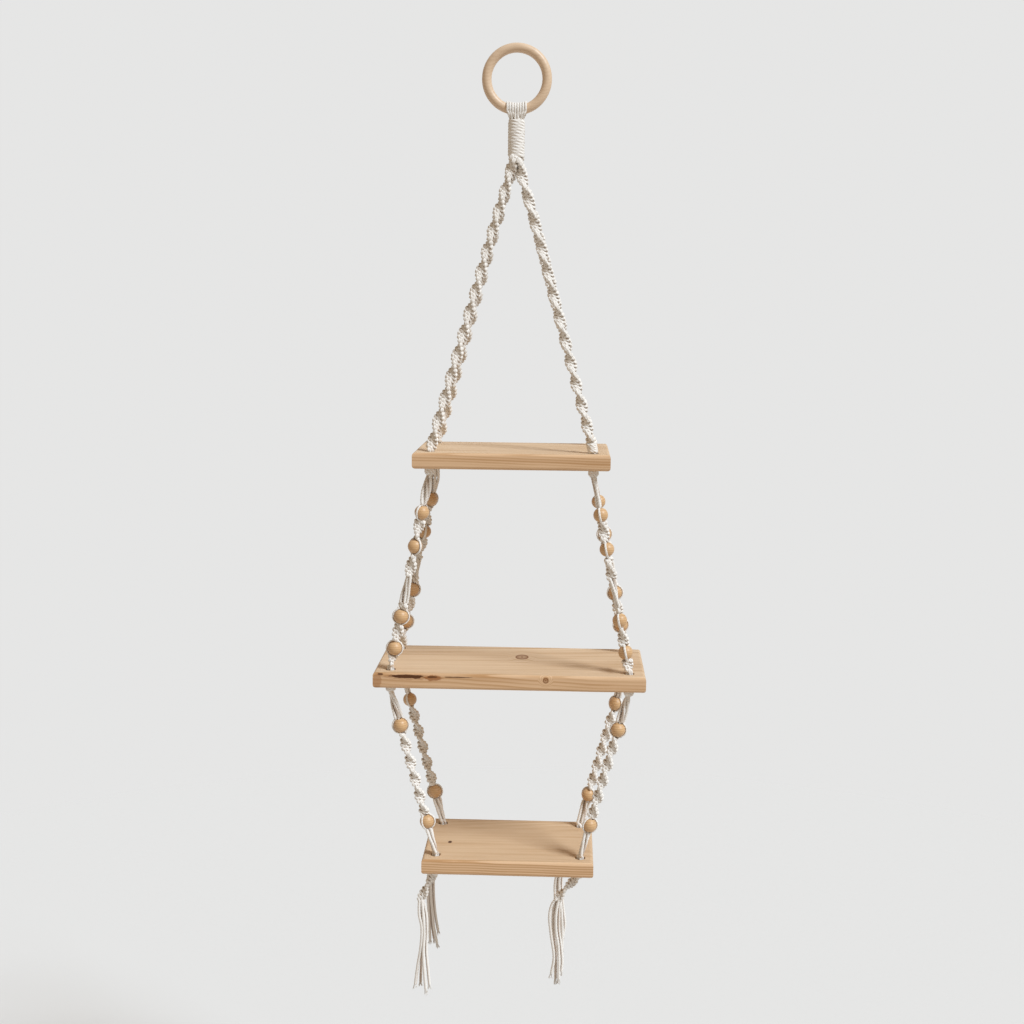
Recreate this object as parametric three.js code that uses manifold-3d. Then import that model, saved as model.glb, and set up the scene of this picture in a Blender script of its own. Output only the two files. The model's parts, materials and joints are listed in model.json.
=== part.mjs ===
// Hanging rope shelf: a wooden ring, knotted cotton ropes with wooden beads, and three pine boards.
// Millimetres, +Z up, front is -Y. The origin is inside the top of the ring, where it bears on its peg.

import * as THREE from 'three';
import { mergeVertices } from 'three/addons/utils/BufferGeometryUtils.js';
import Module from 'manifold-3d';

const wasm = await Module();
wasm.setup();

// Driving dimensions

const ringOuter = 80;
const ringSection = 11;

const cordDiameter = 2.7;
const clearance = 0.3;
const overrun = 5;
const tuck = 1.2;

const loopCount = 8;
const loopPitch = 2.95;
const loopRest = 0.9;
const loopPlay = 1.35;
const swingAxisRise = 0.6;

const bundleDiameter = 13.2;
const bundleHeadRise = 2;
const wrapTurns = 13;
const wrapPitch = 3.2;
const wrapDrop = 3.4;
const swayDrop = 5.6;
const crownDrop = 3;

const shelfDepth = 140;
const shelfThickness = 19;
const shelfEdgeRadius = 4;
const shelfCornerRadius = 5;
const topWidth = 226;
const middleWidth = 318;
const bottomWidth = 204;
const topLevel = 451;
const middleLevel = 709;
const bottomLevel = 936;

const holeDiameter = 12;
const holeInset = 19;
const bottomHoleInset = 15.5;
const holeSetback = 18;

const passageDiameter = 9.5;
const domeDiameter = 10;
const domeRise = 1.5;
const knotDiameter = 15;
const knotHeight = 4.4;
const pivotBallDiameter = 10;
const pivotDrop = 5.6;

const sinnetWidth = 12;
const sinnetThickness = 9;
const strandsWidth = 9;
const strandsThickness = 6.4;
const upperHalfTurn = 26;
const lowerHalfTurn = 19.8;

const beadDiameter = 17;
const beadBore = 6;
const fillerDiameter = 5.2;
const beadCordLift = 0.3;
const smallKnotLength = 7;
const shortSinnetLength = 26;

const crownOffset = 3.3;

const endSinnetWidth = 11;
const endSinnetThickness = 8.5;
const lastKnotDiameter = 9;

// Outline of a support knot, from the board down: shares of its radius and of its height
const knotOutlineShares = [[0.9, 0], [1, 0.5], [0.8, 1]];

// Bead places on each rope, as shares of the drop between its two pivots, and how far round
// the rope each bead's two outer cords lie, as shares of a full turn.
const middleBeadShares = {
  front: [0.201, 0.373, 0.733, 0.897],
  back: [0.195, 0.369, 0.683, 0.858],
};
const lowerBeadShares = { front: [0.216, 0.803], back: [0.207, 0.80] };
const beadTurnShares = [0.69, 0.82, 0.72, 0.62];

// Where the last knot of each rope hangs, seen from its hole in the underside of the bottom shelf.
const lastKnotPlaces = {
  front_left: [-17.5, -37],
  front_right: [-25.5, -32],
  back_left: [-14.5, -37],
  back_right: [-22.5, -35],
};

// The routes of the four loose strands of each rope, seen from the centre of its last knot.
const tailRoutes = {
  front_left: [
    [[-2, -1, -1], [-2, -2, -20], [1, -2, -36], [0, -2, -60], [-4, -1, -86], [-7, -1, -110]],
    [[-1, 2, -1], [-1, 2, -20], [1, 3, -39], [1, 3, -65], [0, 3, -88], [-1, 3, -109]],
    [[1, -1, -1], [3, -2, -24], [4, -2, -46], [3, -3, -65], [4, -3, -90], [6, -2, -116]],
    [[2, 1, -1], [6, 2, -20], [7, 2, -39], [6, 3, -65], [8, 3, -90], [10, 3, -112]],
  ],
  front_right: [
    [[-2, -1, 0], [-7, -1, -8], [-10, -2, -21], [-8, -2, -45], [-4, -2, -75], [-7, -2, -96]],
    [[-2, 2, 0], [-5, 2, -14], [-6, 2, -30], [-4, 3, -55], [-2, 2, -80], [-2, 2, -105]],
    [[1, -1, -1], [-2, -2, -17], [-2, -2, -40], [1, -3, -60], [2, -3, -80], [2, -2, -103]],
    [[2, 1, -1], [1, 2, -19], [1, 2, -40], [4, 2, -60], [6, 1, -80], [5, 1, -94]],
  ],
  back_left: [
    [[-2, -1, 0], [-5, -2, -20], [-5, -2, -40], [-4, -2, -60], [-3, -1, -80], [-2, -1, -101]],
    [[-1, 2, -1], [-3, 2, -20], [-3, 3, -40], [-2, 3, -60], [0, 3, -82], [3, 3, -102]],
    [[1, -1, -1], [-1, -2, -20], [-1, -2, -40], [1, -2, -62], [3, -2, -84], [7, -2, -106]],
    [[2, 1, -1], [2, 2, -18], [2, 2, -36], [3, 2, -54], [5, 2, -72], [8, 2, -90]],
  ],
  back_right: [
    [[-2, -1, 0], [-7, -2, -20], [-7, -2, -42], [-5, -2, -68], [-3, -1, -92], [-3, -1, -116]],
    [[-2, 2, -1], [-5, 2, -22], [-4, 3, -46], [-1, 3, -72], [0, 3, -98], [0, 3, -125]],
    [[1, -1, -1], [-2, -2, -20], [0, -2, -44], [2, -3, -66], [3, -3, -88], [3, -2, -111]],
    [[2, 1, -1], [1, 2, -20], [2, 2, -40], [4, 2, -60], [6, 2, -78], [4, 2, -95]],
  ],
};

// Counts of faces

const ringSides = 24;
const ringSectionSides = 8;
const loopSides = 5;
const loopSteps = 12;
const wrapSides = 6;
const wrapSteps = 16;
const tailSides = 8;
const tailSteps = 5;
const beadCordSides = 4;
const beadCordSteps = 4;
const fillerSides = 5;
const barSides = 4;
const barStepsPerHalfTurn = 3;
const latheSides = 12;
const footSteps = 3;
const holeSides = 8;
const knotSides = 8;
const domeSteps = 2;
const beadSides = 8;
const beadBands = 4;
const ballSides = 10;
const ballRings = 6;
const quarter = Math.PI / 2;

// Places worked out from the driving dimensions

const ringRadius = (ringOuter - ringSection) / 2;
const ringCentreZ = -(ringRadius - ringSection / 2);
const swingAxisZ = ringCentreZ - ringRadius + swingAxisRise;
const wrapTop = ringCentreZ - ringOuter / 2 - wrapDrop;
const wrapBottom = wrapTop - wrapTurns * wrapPitch;
const swayZ = wrapBottom - swayDrop;
const ropeRow = shelfDepth / 2 - holeSetback;
const topHoleX = topWidth / 2 - holeInset;
const middleHoleX = middleWidth / 2 - holeInset;
const bottomHoleX = bottomWidth / 2 - bottomHoleInset;

const corners = [
  { name: 'front_left', row: 'front', x: -1, y: -1 },
  { name: 'front_right', row: 'front', x: 1, y: -1 },
  { name: 'back_left', row: 'back', x: -1, y: 1 },
  { name: 'back_right', row: 'back', x: 1, y: 1 },
];

const cotton = { color: 0xe9e2d4, roughness: 0.95, metalness: 0 };
const pine = { color: 0xd2a878, roughness: 0.6, metalness: 0 };
const beech = { color: 0xdcbd92, roughness: 0.55, metalness: 0 };
const beadWood = { color: 0xc4925f, roughness: 0.5, metalness: 0 };

// Solids

function signedVolume(positions, index) {
  const a = new THREE.Vector3();
  const b = new THREE.Vector3();
  const c = new THREE.Vector3();
  let sum = 0;
  for (let i = 0; i < index.length; i += 3) {
    a.fromBufferAttribute(positions, index[i]);
    b.fromBufferAttribute(positions, index[i + 1]);
    c.fromBufferAttribute(positions, index[i + 2]);
    sum += a.dot(b.cross(c));
  }
  return sum;
}

// One closed skin: shared corners merged, triangles that closed up on an axis dropped, faces out.
function closedSkin(geometry) {
  const bare = geometry.clone();
  bare.deleteAttribute('normal');
  bare.deleteAttribute('uv');
  const merged = mergeVertices(bare, 1e-4);
  const source = merged.index.array;
  const index = [];
  for (let i = 0; i < source.length; i += 3) {
    const [a, b, c] = [source[i], source[i + 1], source[i + 2]];
    if (a !== b && b !== c && c !== a) index.push(a, b, c);
  }
  if (signedVolume(merged.attributes.position, index) < 0) index.reverse();
  merged.setIndex(index);
  return merged;
}

function solidOf(geometry) {
  const skin = closedSkin(geometry);
  return new wasm.Manifold(new wasm.Mesh({
    numProp: 3,
    vertProperties: new Float32Array(skin.attributes.position.array),
    triVerts: new Uint32Array(skin.index.array),
  }));
}

function geometryOf(solid) {
  const mesh = solid.getMesh();
  const geometry = new THREE.BufferGeometry();
  geometry.setAttribute('position', new THREE.BufferAttribute(mesh.vertProperties, 3));
  geometry.setIndex(new THREE.BufferAttribute(mesh.triVerts, 1));
  geometry.computeVertexNormals();
  return geometry;
}

// One solid from several shapes, without the sealed pockets left between them
function joined(geometries) {
  const whole = geometries.map(solidOf).reduce((sum, shape) => sum.add(shape));
  const skins = whole.decompose();
  return skins.reduce((outer, skin) => (skin.volume() > outer.volume() ? skin : outer));
}

// Basic shapes, standing on the Z axis

function turned(profile, sides = latheSides) {
  const points = profile.map(([radius, height]) => new THREE.Vector2(radius, height));
  return new THREE.LatheGeometry(points, sides).rotateX(quarter);
}

function rod(diameter, top, bottom, sides = latheSides) {
  const geometry = new THREE.CylinderGeometry(diameter / 2, diameter / 2, top - bottom, sides);
  return geometry.rotateX(quarter).translate(0, 0, (top + bottom) / 2);
}

// Outline points along an arc centred on the Z axis, with angles measured up from level
function arcOutline(radius, centreZ, from, to, steps) {
  const points = [];
  for (let i = 0; i <= steps; i++) {
    const angle = from + i / steps * (to - from);
    points.push([radius * Math.cos(angle), centreZ + radius * Math.sin(angle)]);
  }
  return points;
}

function ball(diameter) {
  return new THREE.SphereGeometry(diameter / 2, ballSides, ballRings).rotateX(quarter);
}

// A hollow for a ball to turn in: its flats stay clear of the ball's corners
function socket(diameter) {
  const flat = Math.cos(Math.PI / ballSides) * Math.cos(quarter / ballRings);
  return ball((diameter + 2 * clearance) / flat);
}

function block(width, depth, top, bottom) {
  return new THREE.BoxGeometry(width, depth, top - bottom).translate(0, 0, (top + bottom) / 2);
}

// A section with its corners on an oval, drawn out so that it reaches the full thickness
function sectionShape(width, thickness, sides) {
  const shape = new THREE.Shape();
  const angles = Array.from({ length: sides }, (_, i) => i / sides * 2 * Math.PI);
  const reach = Math.max(...angles.map(Math.sin));
  angles.forEach((angle, i) => {
    const place = [width / 2 * Math.cos(angle), thickness / 2 * Math.sin(angle) / reach];
    if (i === 0) shape.moveTo(...place);
    else shape.lineTo(...place);
  });
  shape.closePath();
  return shape;
}

function tube(path, steps, sides) {
  const shape = sectionShape(cordDiameter, cordDiameter, sides);
  return new THREE.ExtrudeGeometry(shape, { steps, extrudePath: path, bevelEnabled: false });
}

// A straight bar from top to bottom whose oval section turns half round every halfTurn.
function twistedBar({ width, thickness, top, bottom, halfTurn, phase = 0 }) {
  const length = top - bottom;
  const steps = halfTurn ? Math.max(1, Math.floor(length / halfTurn * barStepsPerHalfTurn)) : 1;
  const shape = sectionShape(width, thickness, barSides);
  const geometry = new THREE.ExtrudeGeometry(shape, { steps, depth: length, bevelEnabled: false });
  // Mirrored, so that the fold across each side face runs with the twist and doesn't cut into the bar
  geometry.scale(-1, 1, 1).translate(0, 0, bottom);
  const position = geometry.attributes.position;
  const point = new THREE.Vector3();
  const axis = new THREE.Vector3(0, 0, 1);
  for (let i = 0; i < position.count; i++) {
    point.fromBufferAttribute(position, i);
    const turn = halfTurn ? Math.PI * (top - point.z) / halfTurn : 0;
    point.applyAxisAngle(axis, phase + turn);
    position.setXYZ(i, point.x, point.y, point.z);
  }
  return geometry;
}

// Turns a shape that hangs down the Z axis so that it hangs along the line from start to end.
function hungAlong(geometry, start, end) {
  const down = new THREE.Vector3(0, 0, -1);
  const way = end.clone().sub(start).normalize();
  const turn = new THREE.Quaternion().setFromUnitVectors(down, way);
  return geometry.applyQuaternion(turn).translate(start.x, start.y, start.z);
}

function part(name, geometry, finish) {
  const mesh = new THREE.Mesh(geometry, new THREE.MeshStandardMaterial(finish));
  mesh.name = name;
  return mesh;
}

// The wooden ring

function hangingRing() {
  const section = ringSection / 2;
  const geometry = new THREE.TorusGeometry(ringRadius, section, ringSectionSides, ringSides);
  const ring = part('hanging_ring', closedSkin(geometry.rotateX(quarter)), beech);
  ring.position.z = ringCentreZ;
  return ring;
}

// One cord laid over the bottom of the ring, both legs running down into the bundle
function cordLoop(x) {
  const inner = ringOuter / 2 - ringSection;
  const overTop = ringCentreZ - Math.sqrt(inner ** 2 - x ** 2) + loopRest + cordDiameter / 2;
  const side = ringSection / 2 + loopPlay + cordDiameter / 2;
  const rise = overTop - swingAxisZ;
  const headZ = wrapTop + bundleHeadRise;
  const gatheredX = x / (loopCount * loopPitch) * (bundleDiameter - 2 * cordDiameter);
  const gatheredY = bundleDiameter / 4;
  const half = [
    [gatheredX, gatheredY, wrapTop - tuck],
    [(x + 2 * gatheredX) / 3, (side + 2 * gatheredY) / 3, headZ],
    [x, side, (2 * swingAxisZ + headZ) / 3],
    [x, side, swingAxisZ],
    [x, side * Math.cos(quarter / 2), swingAxisZ + rise * Math.sin(quarter / 2)],
  ];
  const mirrored = half.map(([px, py, pz]) => [px, -py, pz]).reverse();
  const places = [...half, [x, 0, overTop], ...mirrored];
  const path = new THREE.CatmullRomCurve3(places.map((place) => new THREE.Vector3(...place)));
  return tube(path, loopSteps, loopSides);
}

// The eight loops and the bundle of sixteen strands that they become, ending in a round foot
function cordLoops() {
  const radius = bundleDiameter / 2;
  const headZ = wrapTop + bundleHeadRise;
  const profile = [[0, headZ], [radius - bundleHeadRise, headZ], [radius, wrapTop]];
  profile.push(...arcOutline(radius, swayZ, 0, -quarter, footSteps));
  const pieces = [turned(profile)];
  for (let i = 0; i < loopCount; i++) pieces.push(cordLoop((i - (loopCount - 1) / 2) * loopPitch));
  return part('cord_loops', geometryOf(joined(pieces)), cotton);
}

// The wrapping cord: a helix whose two ends run straight on for one cord diameter
class WrapPath extends THREE.Curve {
  constructor(radius) {
    super();
    this.radius = radius;
    this.turnLength = Math.hypot(2 * Math.PI * radius, wrapPitch);
    this.coilLength = wrapTurns * this.turnLength;
    this.total = this.coilLength + 2 * cordDiameter;
    this.arcLengthDivisions = wrapTurns * wrapSteps * 4;
  }

  coilPoint(run, target) {
    const angle = run / this.turnLength * 2 * Math.PI;
    const height = wrapTop - cordDiameter / 2 - run / this.turnLength * wrapPitch;
    return target.set(this.radius * Math.cos(angle), this.radius * Math.sin(angle), height);
  }

  coilDirection(run) {
    const angle = run / this.turnLength * 2 * Math.PI;
    const round = 2 * Math.PI * this.radius;
    const way = new THREE.Vector3(-Math.sin(angle) * round, Math.cos(angle) * round, -wrapPitch);
    return way.normalize();
  }

  getPoint(t, target = new THREE.Vector3()) {
    const run = t * this.total - cordDiameter;
    const held = Math.min(Math.max(run, 0), this.coilLength);
    return this.coilPoint(held, target).addScaledVector(this.coilDirection(held), run - held);
  }
}

function leastGap(path, steps) {
  const points = path.getPoints(steps);
  const apart = Math.round(wrapSteps / 2);
  let least = Infinity;
  for (let i = 0; i < points.length; i++) {
    for (let j = i + apart; j < points.length; j++) {
      least = Math.min(least, points[i].distanceTo(points[j]));
    }
  }
  return least - cordDiameter;
}

function gatheringWrap() {
  const path = new WrapPath(bundleDiameter / 2 + clearance + cordDiameter / 2);
  const steps = wrapTurns * wrapSteps;
  console.log(`gathering wrap, least gap to itself: ${leastGap(path, steps).toFixed(2)} mm`);
  return part('gathering_wrap', closedSkin(tube(path, steps, wrapSides)), cotton);
}

// A pine board with rounded edges and a hole near each corner
function shelf(name, width, level, inset) {
  const [x, y, r] = [width / 2, shelfDepth / 2, shelfCornerRadius];
  const outline = new THREE.Shape();
  outline.absarc(x - r, y - r, r, 0, quarter);
  outline.absarc(r - x, y - r, r, quarter, 2 * quarter);
  outline.absarc(r - x, r - y, r, 2 * quarter, 3 * quarter);
  outline.absarc(x - r, r - y, r, 3 * quarter, 4 * quarter);
  const board = new THREE.ExtrudeGeometry(outline, {
    depth: shelfThickness - 2 * shelfEdgeRadius,
    bevelThickness: shelfEdgeRadius,
    bevelSize: shelfEdgeRadius,
    bevelOffset: -shelfEdgeRadius,
    bevelSegments: 2,
    curveSegments: 2,
  }).translate(0, 0, shelfEdgeRadius - shelfThickness);
  let solid = solidOf(board);
  for (const corner of corners) {
    const hole = rod(holeDiameter, overrun, -shelfThickness - overrun, holeSides);
    hole.translate(corner.x * (width / 2 - inset), corner.y * ropeRow, 0);
    solid = solid.subtract(solidOf(hole));
  }
  const mesh = part(name, geometryOf(solid), pine);
  mesh.position.z = -level;
  return mesh;
}

// The rope inside a shelf hole, measured from the shelf's top face: an optional round head above
// the board, the strands through the hole, the knot that carries the board, and an optional ball
// below it on which the next rope swings.
function passage({ head, pivot }) {
  const strand = passageDiameter / 2;
  const profile = [[0, domeRise + strand], [strand, domeRise]];
  if (head) {
    profile.splice(0, 2, ...arcOutline(domeDiameter / 2, domeRise, quarter, 0, domeSteps));
    profile.push([strand, -tuck]);
  }
  const under = -shelfThickness - clearance;
  profile.push([strand, under]);
  for (const [outShare, dropShare] of knotOutlineShares) {
    profile.push([knotDiameter / 2 * outShare, under - knotHeight * dropShare]);
  }
  if (pivot) {
    const pivotZ = -shelfThickness - pivotDrop;
    profile.push(...arcOutline(pivotBallDiameter / 2, pivotZ, 0, -quarter, domeSteps));
  } else {
    profile.push([0, under - knotHeight]);
  }
  return turned(profile, knotSides);
}

// From the foot of the neck to the top shelf: a twisted sinnet in its own quarter of the crown
function upperRope(corner) {
  const start = new THREE.Vector3(corner.x * crownOffset, corner.y * crownOffset, swayZ);
  const end = new THREE.Vector3(corner.x * topHoleX, corner.y * ropeRow, -topLevel + domeRise);
  const length = start.distanceTo(end);
  const sinnet = twistedBar({
    width: sinnetWidth,
    thickness: sinnetThickness,
    top: overrun,
    bottom: -length - overrun,
    halfTurn: upperHalfTurn,
    phase: corner.x * corner.y * quarter / 2,
  });
  const crownZ = swayZ - crownDrop;
  const board = -topLevel + clearance;
  const quadrant = block(topWidth, shelfDepth, crownZ, board);
  quadrant.translate(corner.x * (topWidth + clearance) / 2, corner.y * (shelfDepth + clearance) / 2, 0);
  const held = passage({ head: false, pivot: true }).translate(end.x, end.y, -topLevel);
  const solid = solidOf(hungAlong(sinnet, start, end))
    .intersect(solidOf(quadrant))
    .subtract(solidOf(socket(bundleDiameter).translate(0, 0, swayZ)))
    .add(solidOf(held));
  return part(`upper_rope_${corner.name}`, geometryOf(solid), cotton);
}

// The two cords that pass outside a bead, and the two that pass through its bore
function beadCords(height, turnShare) {
  const radius = beadDiameter / 2 + clearance + cordDiameter / 2 + beadCordLift;
  const reach = beadDiameter / 2 + clearance + tuck;
  const pieces = [rod(fillerDiameter, height + reach, height - reach, fillerSides)];
  for (const side of [0, 1]) {
    const around = (turnShare + side / 2) * 2 * Math.PI;
    const places = arcOutline(radius, height, quarter, -quarter, 2 * beadCordSteps).map(([x, z]) => {
      const out = Math.max(x, cordDiameter);
      return new THREE.Vector3(out * Math.cos(around), out * Math.sin(around), z);
    });
    const path = new THREE.CatmullRomCurve3(places);
    pieces.push(tube(path, beadCordSteps, beadCordSides));
  }
  return pieces;
}

// A rope between two shelves, hanging down the Z axis from its upper pivot: stretches of plain
// strands and of twisted sinnet, with flat ends that just clear the round knots they swing on.
function beadedRope(name, upper, lower, beadShares, spansOf, halfTurn) {
  const length = upper.distanceTo(lower);
  const head = -(pivotBallDiameter / 2 + clearance);
  const foot = domeDiameter / 2 + clearance - length;
  const beads = beadShares.map((share) => -share * length);
  const stop = beadDiameter / 2 + clearance;
  const lap = (height) => (height === head || height === foot ? 0 : tuck);
  const pieces = spansOf(head, foot, beads).map(({ kind, from, to }) => {
    const sinnet = kind === 'sinnet';
    return twistedBar({
      width: sinnet ? sinnetWidth : strandsWidth,
      thickness: sinnet ? sinnetThickness : strandsThickness,
      top: beads.includes(from) ? from - stop : from + lap(from),
      bottom: beads.includes(to) ? to + stop : to - lap(to),
      halfTurn: sinnet ? halfTurn : 0,
    });
  });
  beads.forEach((bead, i) => pieces.push(...beadCords(bead, beadTurnShares[i])));
  const rope = part(name, geometryOf(joined(pieces)), cotton);
  rope.position.copy(upper);
  const down = new THREE.Vector3(0, 0, -1);
  rope.quaternion.setFromUnitVectors(down, lower.clone().sub(upper).normalize());
  return rope;
}

function middleSpans(head, foot, [first, second, third, fourth]) {
  const sinnetEnd = second - beadDiameter / 2 - shortSinnetLength;
  return [
    { kind: 'strands', from: head, to: first },
    { kind: 'sinnet', from: first, to: second },
    { kind: 'sinnet', from: second, to: sinnetEnd },
    { kind: 'strands', from: sinnetEnd, to: third },
    { kind: 'sinnet', from: third + beadDiameter / 2 + smallKnotLength, to: third },
    { kind: 'sinnet', from: third, to: fourth },
    { kind: 'sinnet', from: fourth, to: foot },
  ];
}

function lowerSpans(head, foot, [first, second]) {
  return [
    { kind: 'strands', from: head, to: first },
    { kind: 'sinnet', from: first, to: second },
    { kind: 'strands', from: second, to: foot },
  ];
}

// A turned bead with its bore, hung on the rope's line
function bead(name, upper, lower, share) {
  const rim = Math.acos(beadBore / beadDiameter);
  const profile = arcOutline(beadDiameter / 2, 0, rim, -rim, beadBands);
  profile.push([...profile[0]]);
  const mesh = part(name, closedSkin(turned(profile, beadSides)), beadWood);
  mesh.position.lerpVectors(upper, lower, share);
  const down = new THREE.Vector3(0, 0, -1);
  mesh.quaternion.setFromUnitVectors(down, lower.clone().sub(upper).normalize());
  return mesh;
}

// One tier: the four beaded ropes that hang from the shelf above, and their beads
function ropeTier(tier, above, below, beadSets, spansOf, halfTurn) {
  const group = new THREE.Group();
  for (const corner of corners) {
    const y = corner.y * ropeRow;
    const pivotZ = -above.level - shelfThickness - pivotDrop;
    const upper = new THREE.Vector3(corner.x * above.holeX, y, pivotZ);
    const lower = new THREE.Vector3(corner.x * below.holeX, y, domeRise - below.level);
    const shares = beadSets[corner.row];
    group.add(beadedRope(`${tier}_rope_${corner.name}`, upper, lower, shares, spansOf, halfTurn));
    shares.forEach((share, i) => {
      group.add(bead(`${tier}_bead_${corner.name}_${i + 1}`, upper, lower, share));
    });
  }
  return group;
}

// The rope through the middle shelf, with the knot that carries the board
function middleKnot(corner) {
  const geometry = closedSkin(passage({ head: true, pivot: true }));
  const mesh = part(`middle_knot_${corner.name}`, geometry, cotton);
  mesh.position.set(corner.x * middleHoleX, corner.y * ropeRow, -middleLevel);
  return mesh;
}

// The rope through the bottom shelf, its carrying knot and the short leaning sinnet that ends it
function endSinnet(corner) {
  const [leanX, leanZ] = lastKnotPlaces[corner.name];
  const start = new THREE.Vector3(0, 0, -shelfThickness);
  const end = new THREE.Vector3(leanX, 0, -shelfThickness + leanZ);
  const length = start.distanceTo(end);
  const sinnet = twistedBar({
    width: endSinnetWidth,
    thickness: endSinnetThickness,
    top: overrun,
    bottom: -length + lastKnotDiameter / 2 + clearance,
    halfTurn: upperHalfTurn,
  });
  const inKnot = -shelfThickness - clearance - tuck;
  const below = block(4 * knotDiameter, 4 * knotDiameter, inKnot, inKnot + 2 * leanZ);
  const solid = solidOf(hungAlong(sinnet, start, end))
    .intersect(solidOf(below))
    .add(solidOf(passage({ head: true, pivot: false })));
  const mesh = part(`end_sinnet_${corner.name}`, geometryOf(solid), cotton);
  mesh.position.set(corner.x * bottomHoleX, corner.y * ropeRow, -bottomLevel);
  return mesh;
}

// The last knot of a rope and the four loose strands below it
function tail(corner) {
  const [leanX, leanZ] = lastKnotPlaces[corner.name];
  const outline = arcOutline(lastKnotDiameter / 2, 0, quarter, -quarter, 2 * domeSteps);
  const pieces = [turned(outline, knotSides)];
  for (const route of tailRoutes[corner.name]) {
    const path = new THREE.CatmullRomCurve3(route.map((place) => new THREE.Vector3(...place)));
    pieces.push(tube(path, tailSteps, tailSides));
  }
  const mesh = part(`tail_${corner.name}`, geometryOf(joined(pieces)), cotton);
  const x = corner.x * bottomHoleX + leanX;
  mesh.position.set(x, corner.y * ropeRow, -bottomLevel - shelfThickness + leanZ);
  return mesh;
}

// The whole shelf

const top = { level: topLevel, holeX: topHoleX };
const middle = { level: middleLevel, holeX: middleHoleX };
const bottom = { level: bottomLevel, holeX: bottomHoleX };

const ropeShelf = new THREE.Group();
ropeShelf.add(hangingRing(), cordLoops(), gatheringWrap());
for (const corner of corners) ropeShelf.add(upperRope(corner));
ropeShelf.add(shelf('top_shelf', topWidth, topLevel, holeInset));
ropeShelf.add(ropeTier('middle', top, middle, middleBeadShares, middleSpans, upperHalfTurn));
ropeShelf.add(shelf('middle_shelf', middleWidth, middleLevel, holeInset));
for (const corner of corners) ropeShelf.add(middleKnot(corner));
ropeShelf.add(ropeTier('lower', middle, bottom, lowerBeadShares, lowerSpans, lowerHalfTurn));
ropeShelf.add(shelf('bottom_shelf', bottomWidth, bottomLevel, bottomHoleInset));
for (const corner of corners) ropeShelf.add(endSinnet(corner), tail(corner));

export default ropeShelf;
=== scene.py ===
"""Hanging rope shelf: a wooden ring, four knotted cotton ropes with wooden beads, and three pine boards.

Every length is in metres unless its name says otherwise, +Z is up and the front is -Y.
"""

import json
import math

import bmesh
import bpy
import numpy as np
from mathutils import Matrix, Vector


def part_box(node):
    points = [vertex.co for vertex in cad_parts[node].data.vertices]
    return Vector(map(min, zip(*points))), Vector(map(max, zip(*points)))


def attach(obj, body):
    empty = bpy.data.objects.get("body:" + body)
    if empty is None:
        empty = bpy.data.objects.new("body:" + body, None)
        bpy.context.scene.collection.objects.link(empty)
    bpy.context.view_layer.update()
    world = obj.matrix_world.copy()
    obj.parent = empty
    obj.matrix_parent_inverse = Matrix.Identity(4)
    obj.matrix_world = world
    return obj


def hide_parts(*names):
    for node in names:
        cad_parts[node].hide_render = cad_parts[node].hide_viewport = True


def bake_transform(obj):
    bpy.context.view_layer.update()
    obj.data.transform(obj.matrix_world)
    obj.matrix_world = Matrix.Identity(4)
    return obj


bl_info = {
    "name": "Hanging Rope Shelf",
    "version": (1, 0, 0),
    "blender": (4, 5, 0),
    "location": "View3D > Sidebar > Rope Shelf",
    "description": "Makes a hanging shelf of three boards on four knotted ropes",
    "category": "Object",
}

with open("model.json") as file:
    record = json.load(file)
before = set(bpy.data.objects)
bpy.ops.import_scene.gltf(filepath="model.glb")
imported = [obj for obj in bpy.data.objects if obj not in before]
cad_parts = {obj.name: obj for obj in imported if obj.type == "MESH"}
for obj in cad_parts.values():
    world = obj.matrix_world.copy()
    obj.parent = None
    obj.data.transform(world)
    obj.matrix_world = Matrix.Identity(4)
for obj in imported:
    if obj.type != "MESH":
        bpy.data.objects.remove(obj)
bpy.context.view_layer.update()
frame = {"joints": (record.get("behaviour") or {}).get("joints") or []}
joint_place = {joint["name"]: Vector(joint["pos_m"]) for joint in frame["joints"]}

mm = 0.001
full_turn = 2 * math.pi
picture_side = 1024

# The four ropes: which way each stands from the middle of the shelf
corners = {
    "front_left": (-1, -1),
    "front_right": (1, -1),
    "back_left": (-1, 1),
    "back_right": (1, 1),
}

# For each tier of beaded ropes: the boards above and below, and the joints at the ropes' two ends
tiers = {
    "middle": ("top_shelf", "middle_shelf", "middle_tier_swing", "middle_tier_level"),
    "lower": ("middle_shelf", "bottom_shelf", "lower_tier_swing", "bottom_tier_level"),
}

# Where the last knot of each rope hangs, in mm from its hole in the bottom board's underside
last_knot_places = {
    "front_left": (-17.5, -37),
    "front_right": (-25.5, -32),
    "back_left": (-14.5, -37),
    "back_right": (-22.5, -35),
}

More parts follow.
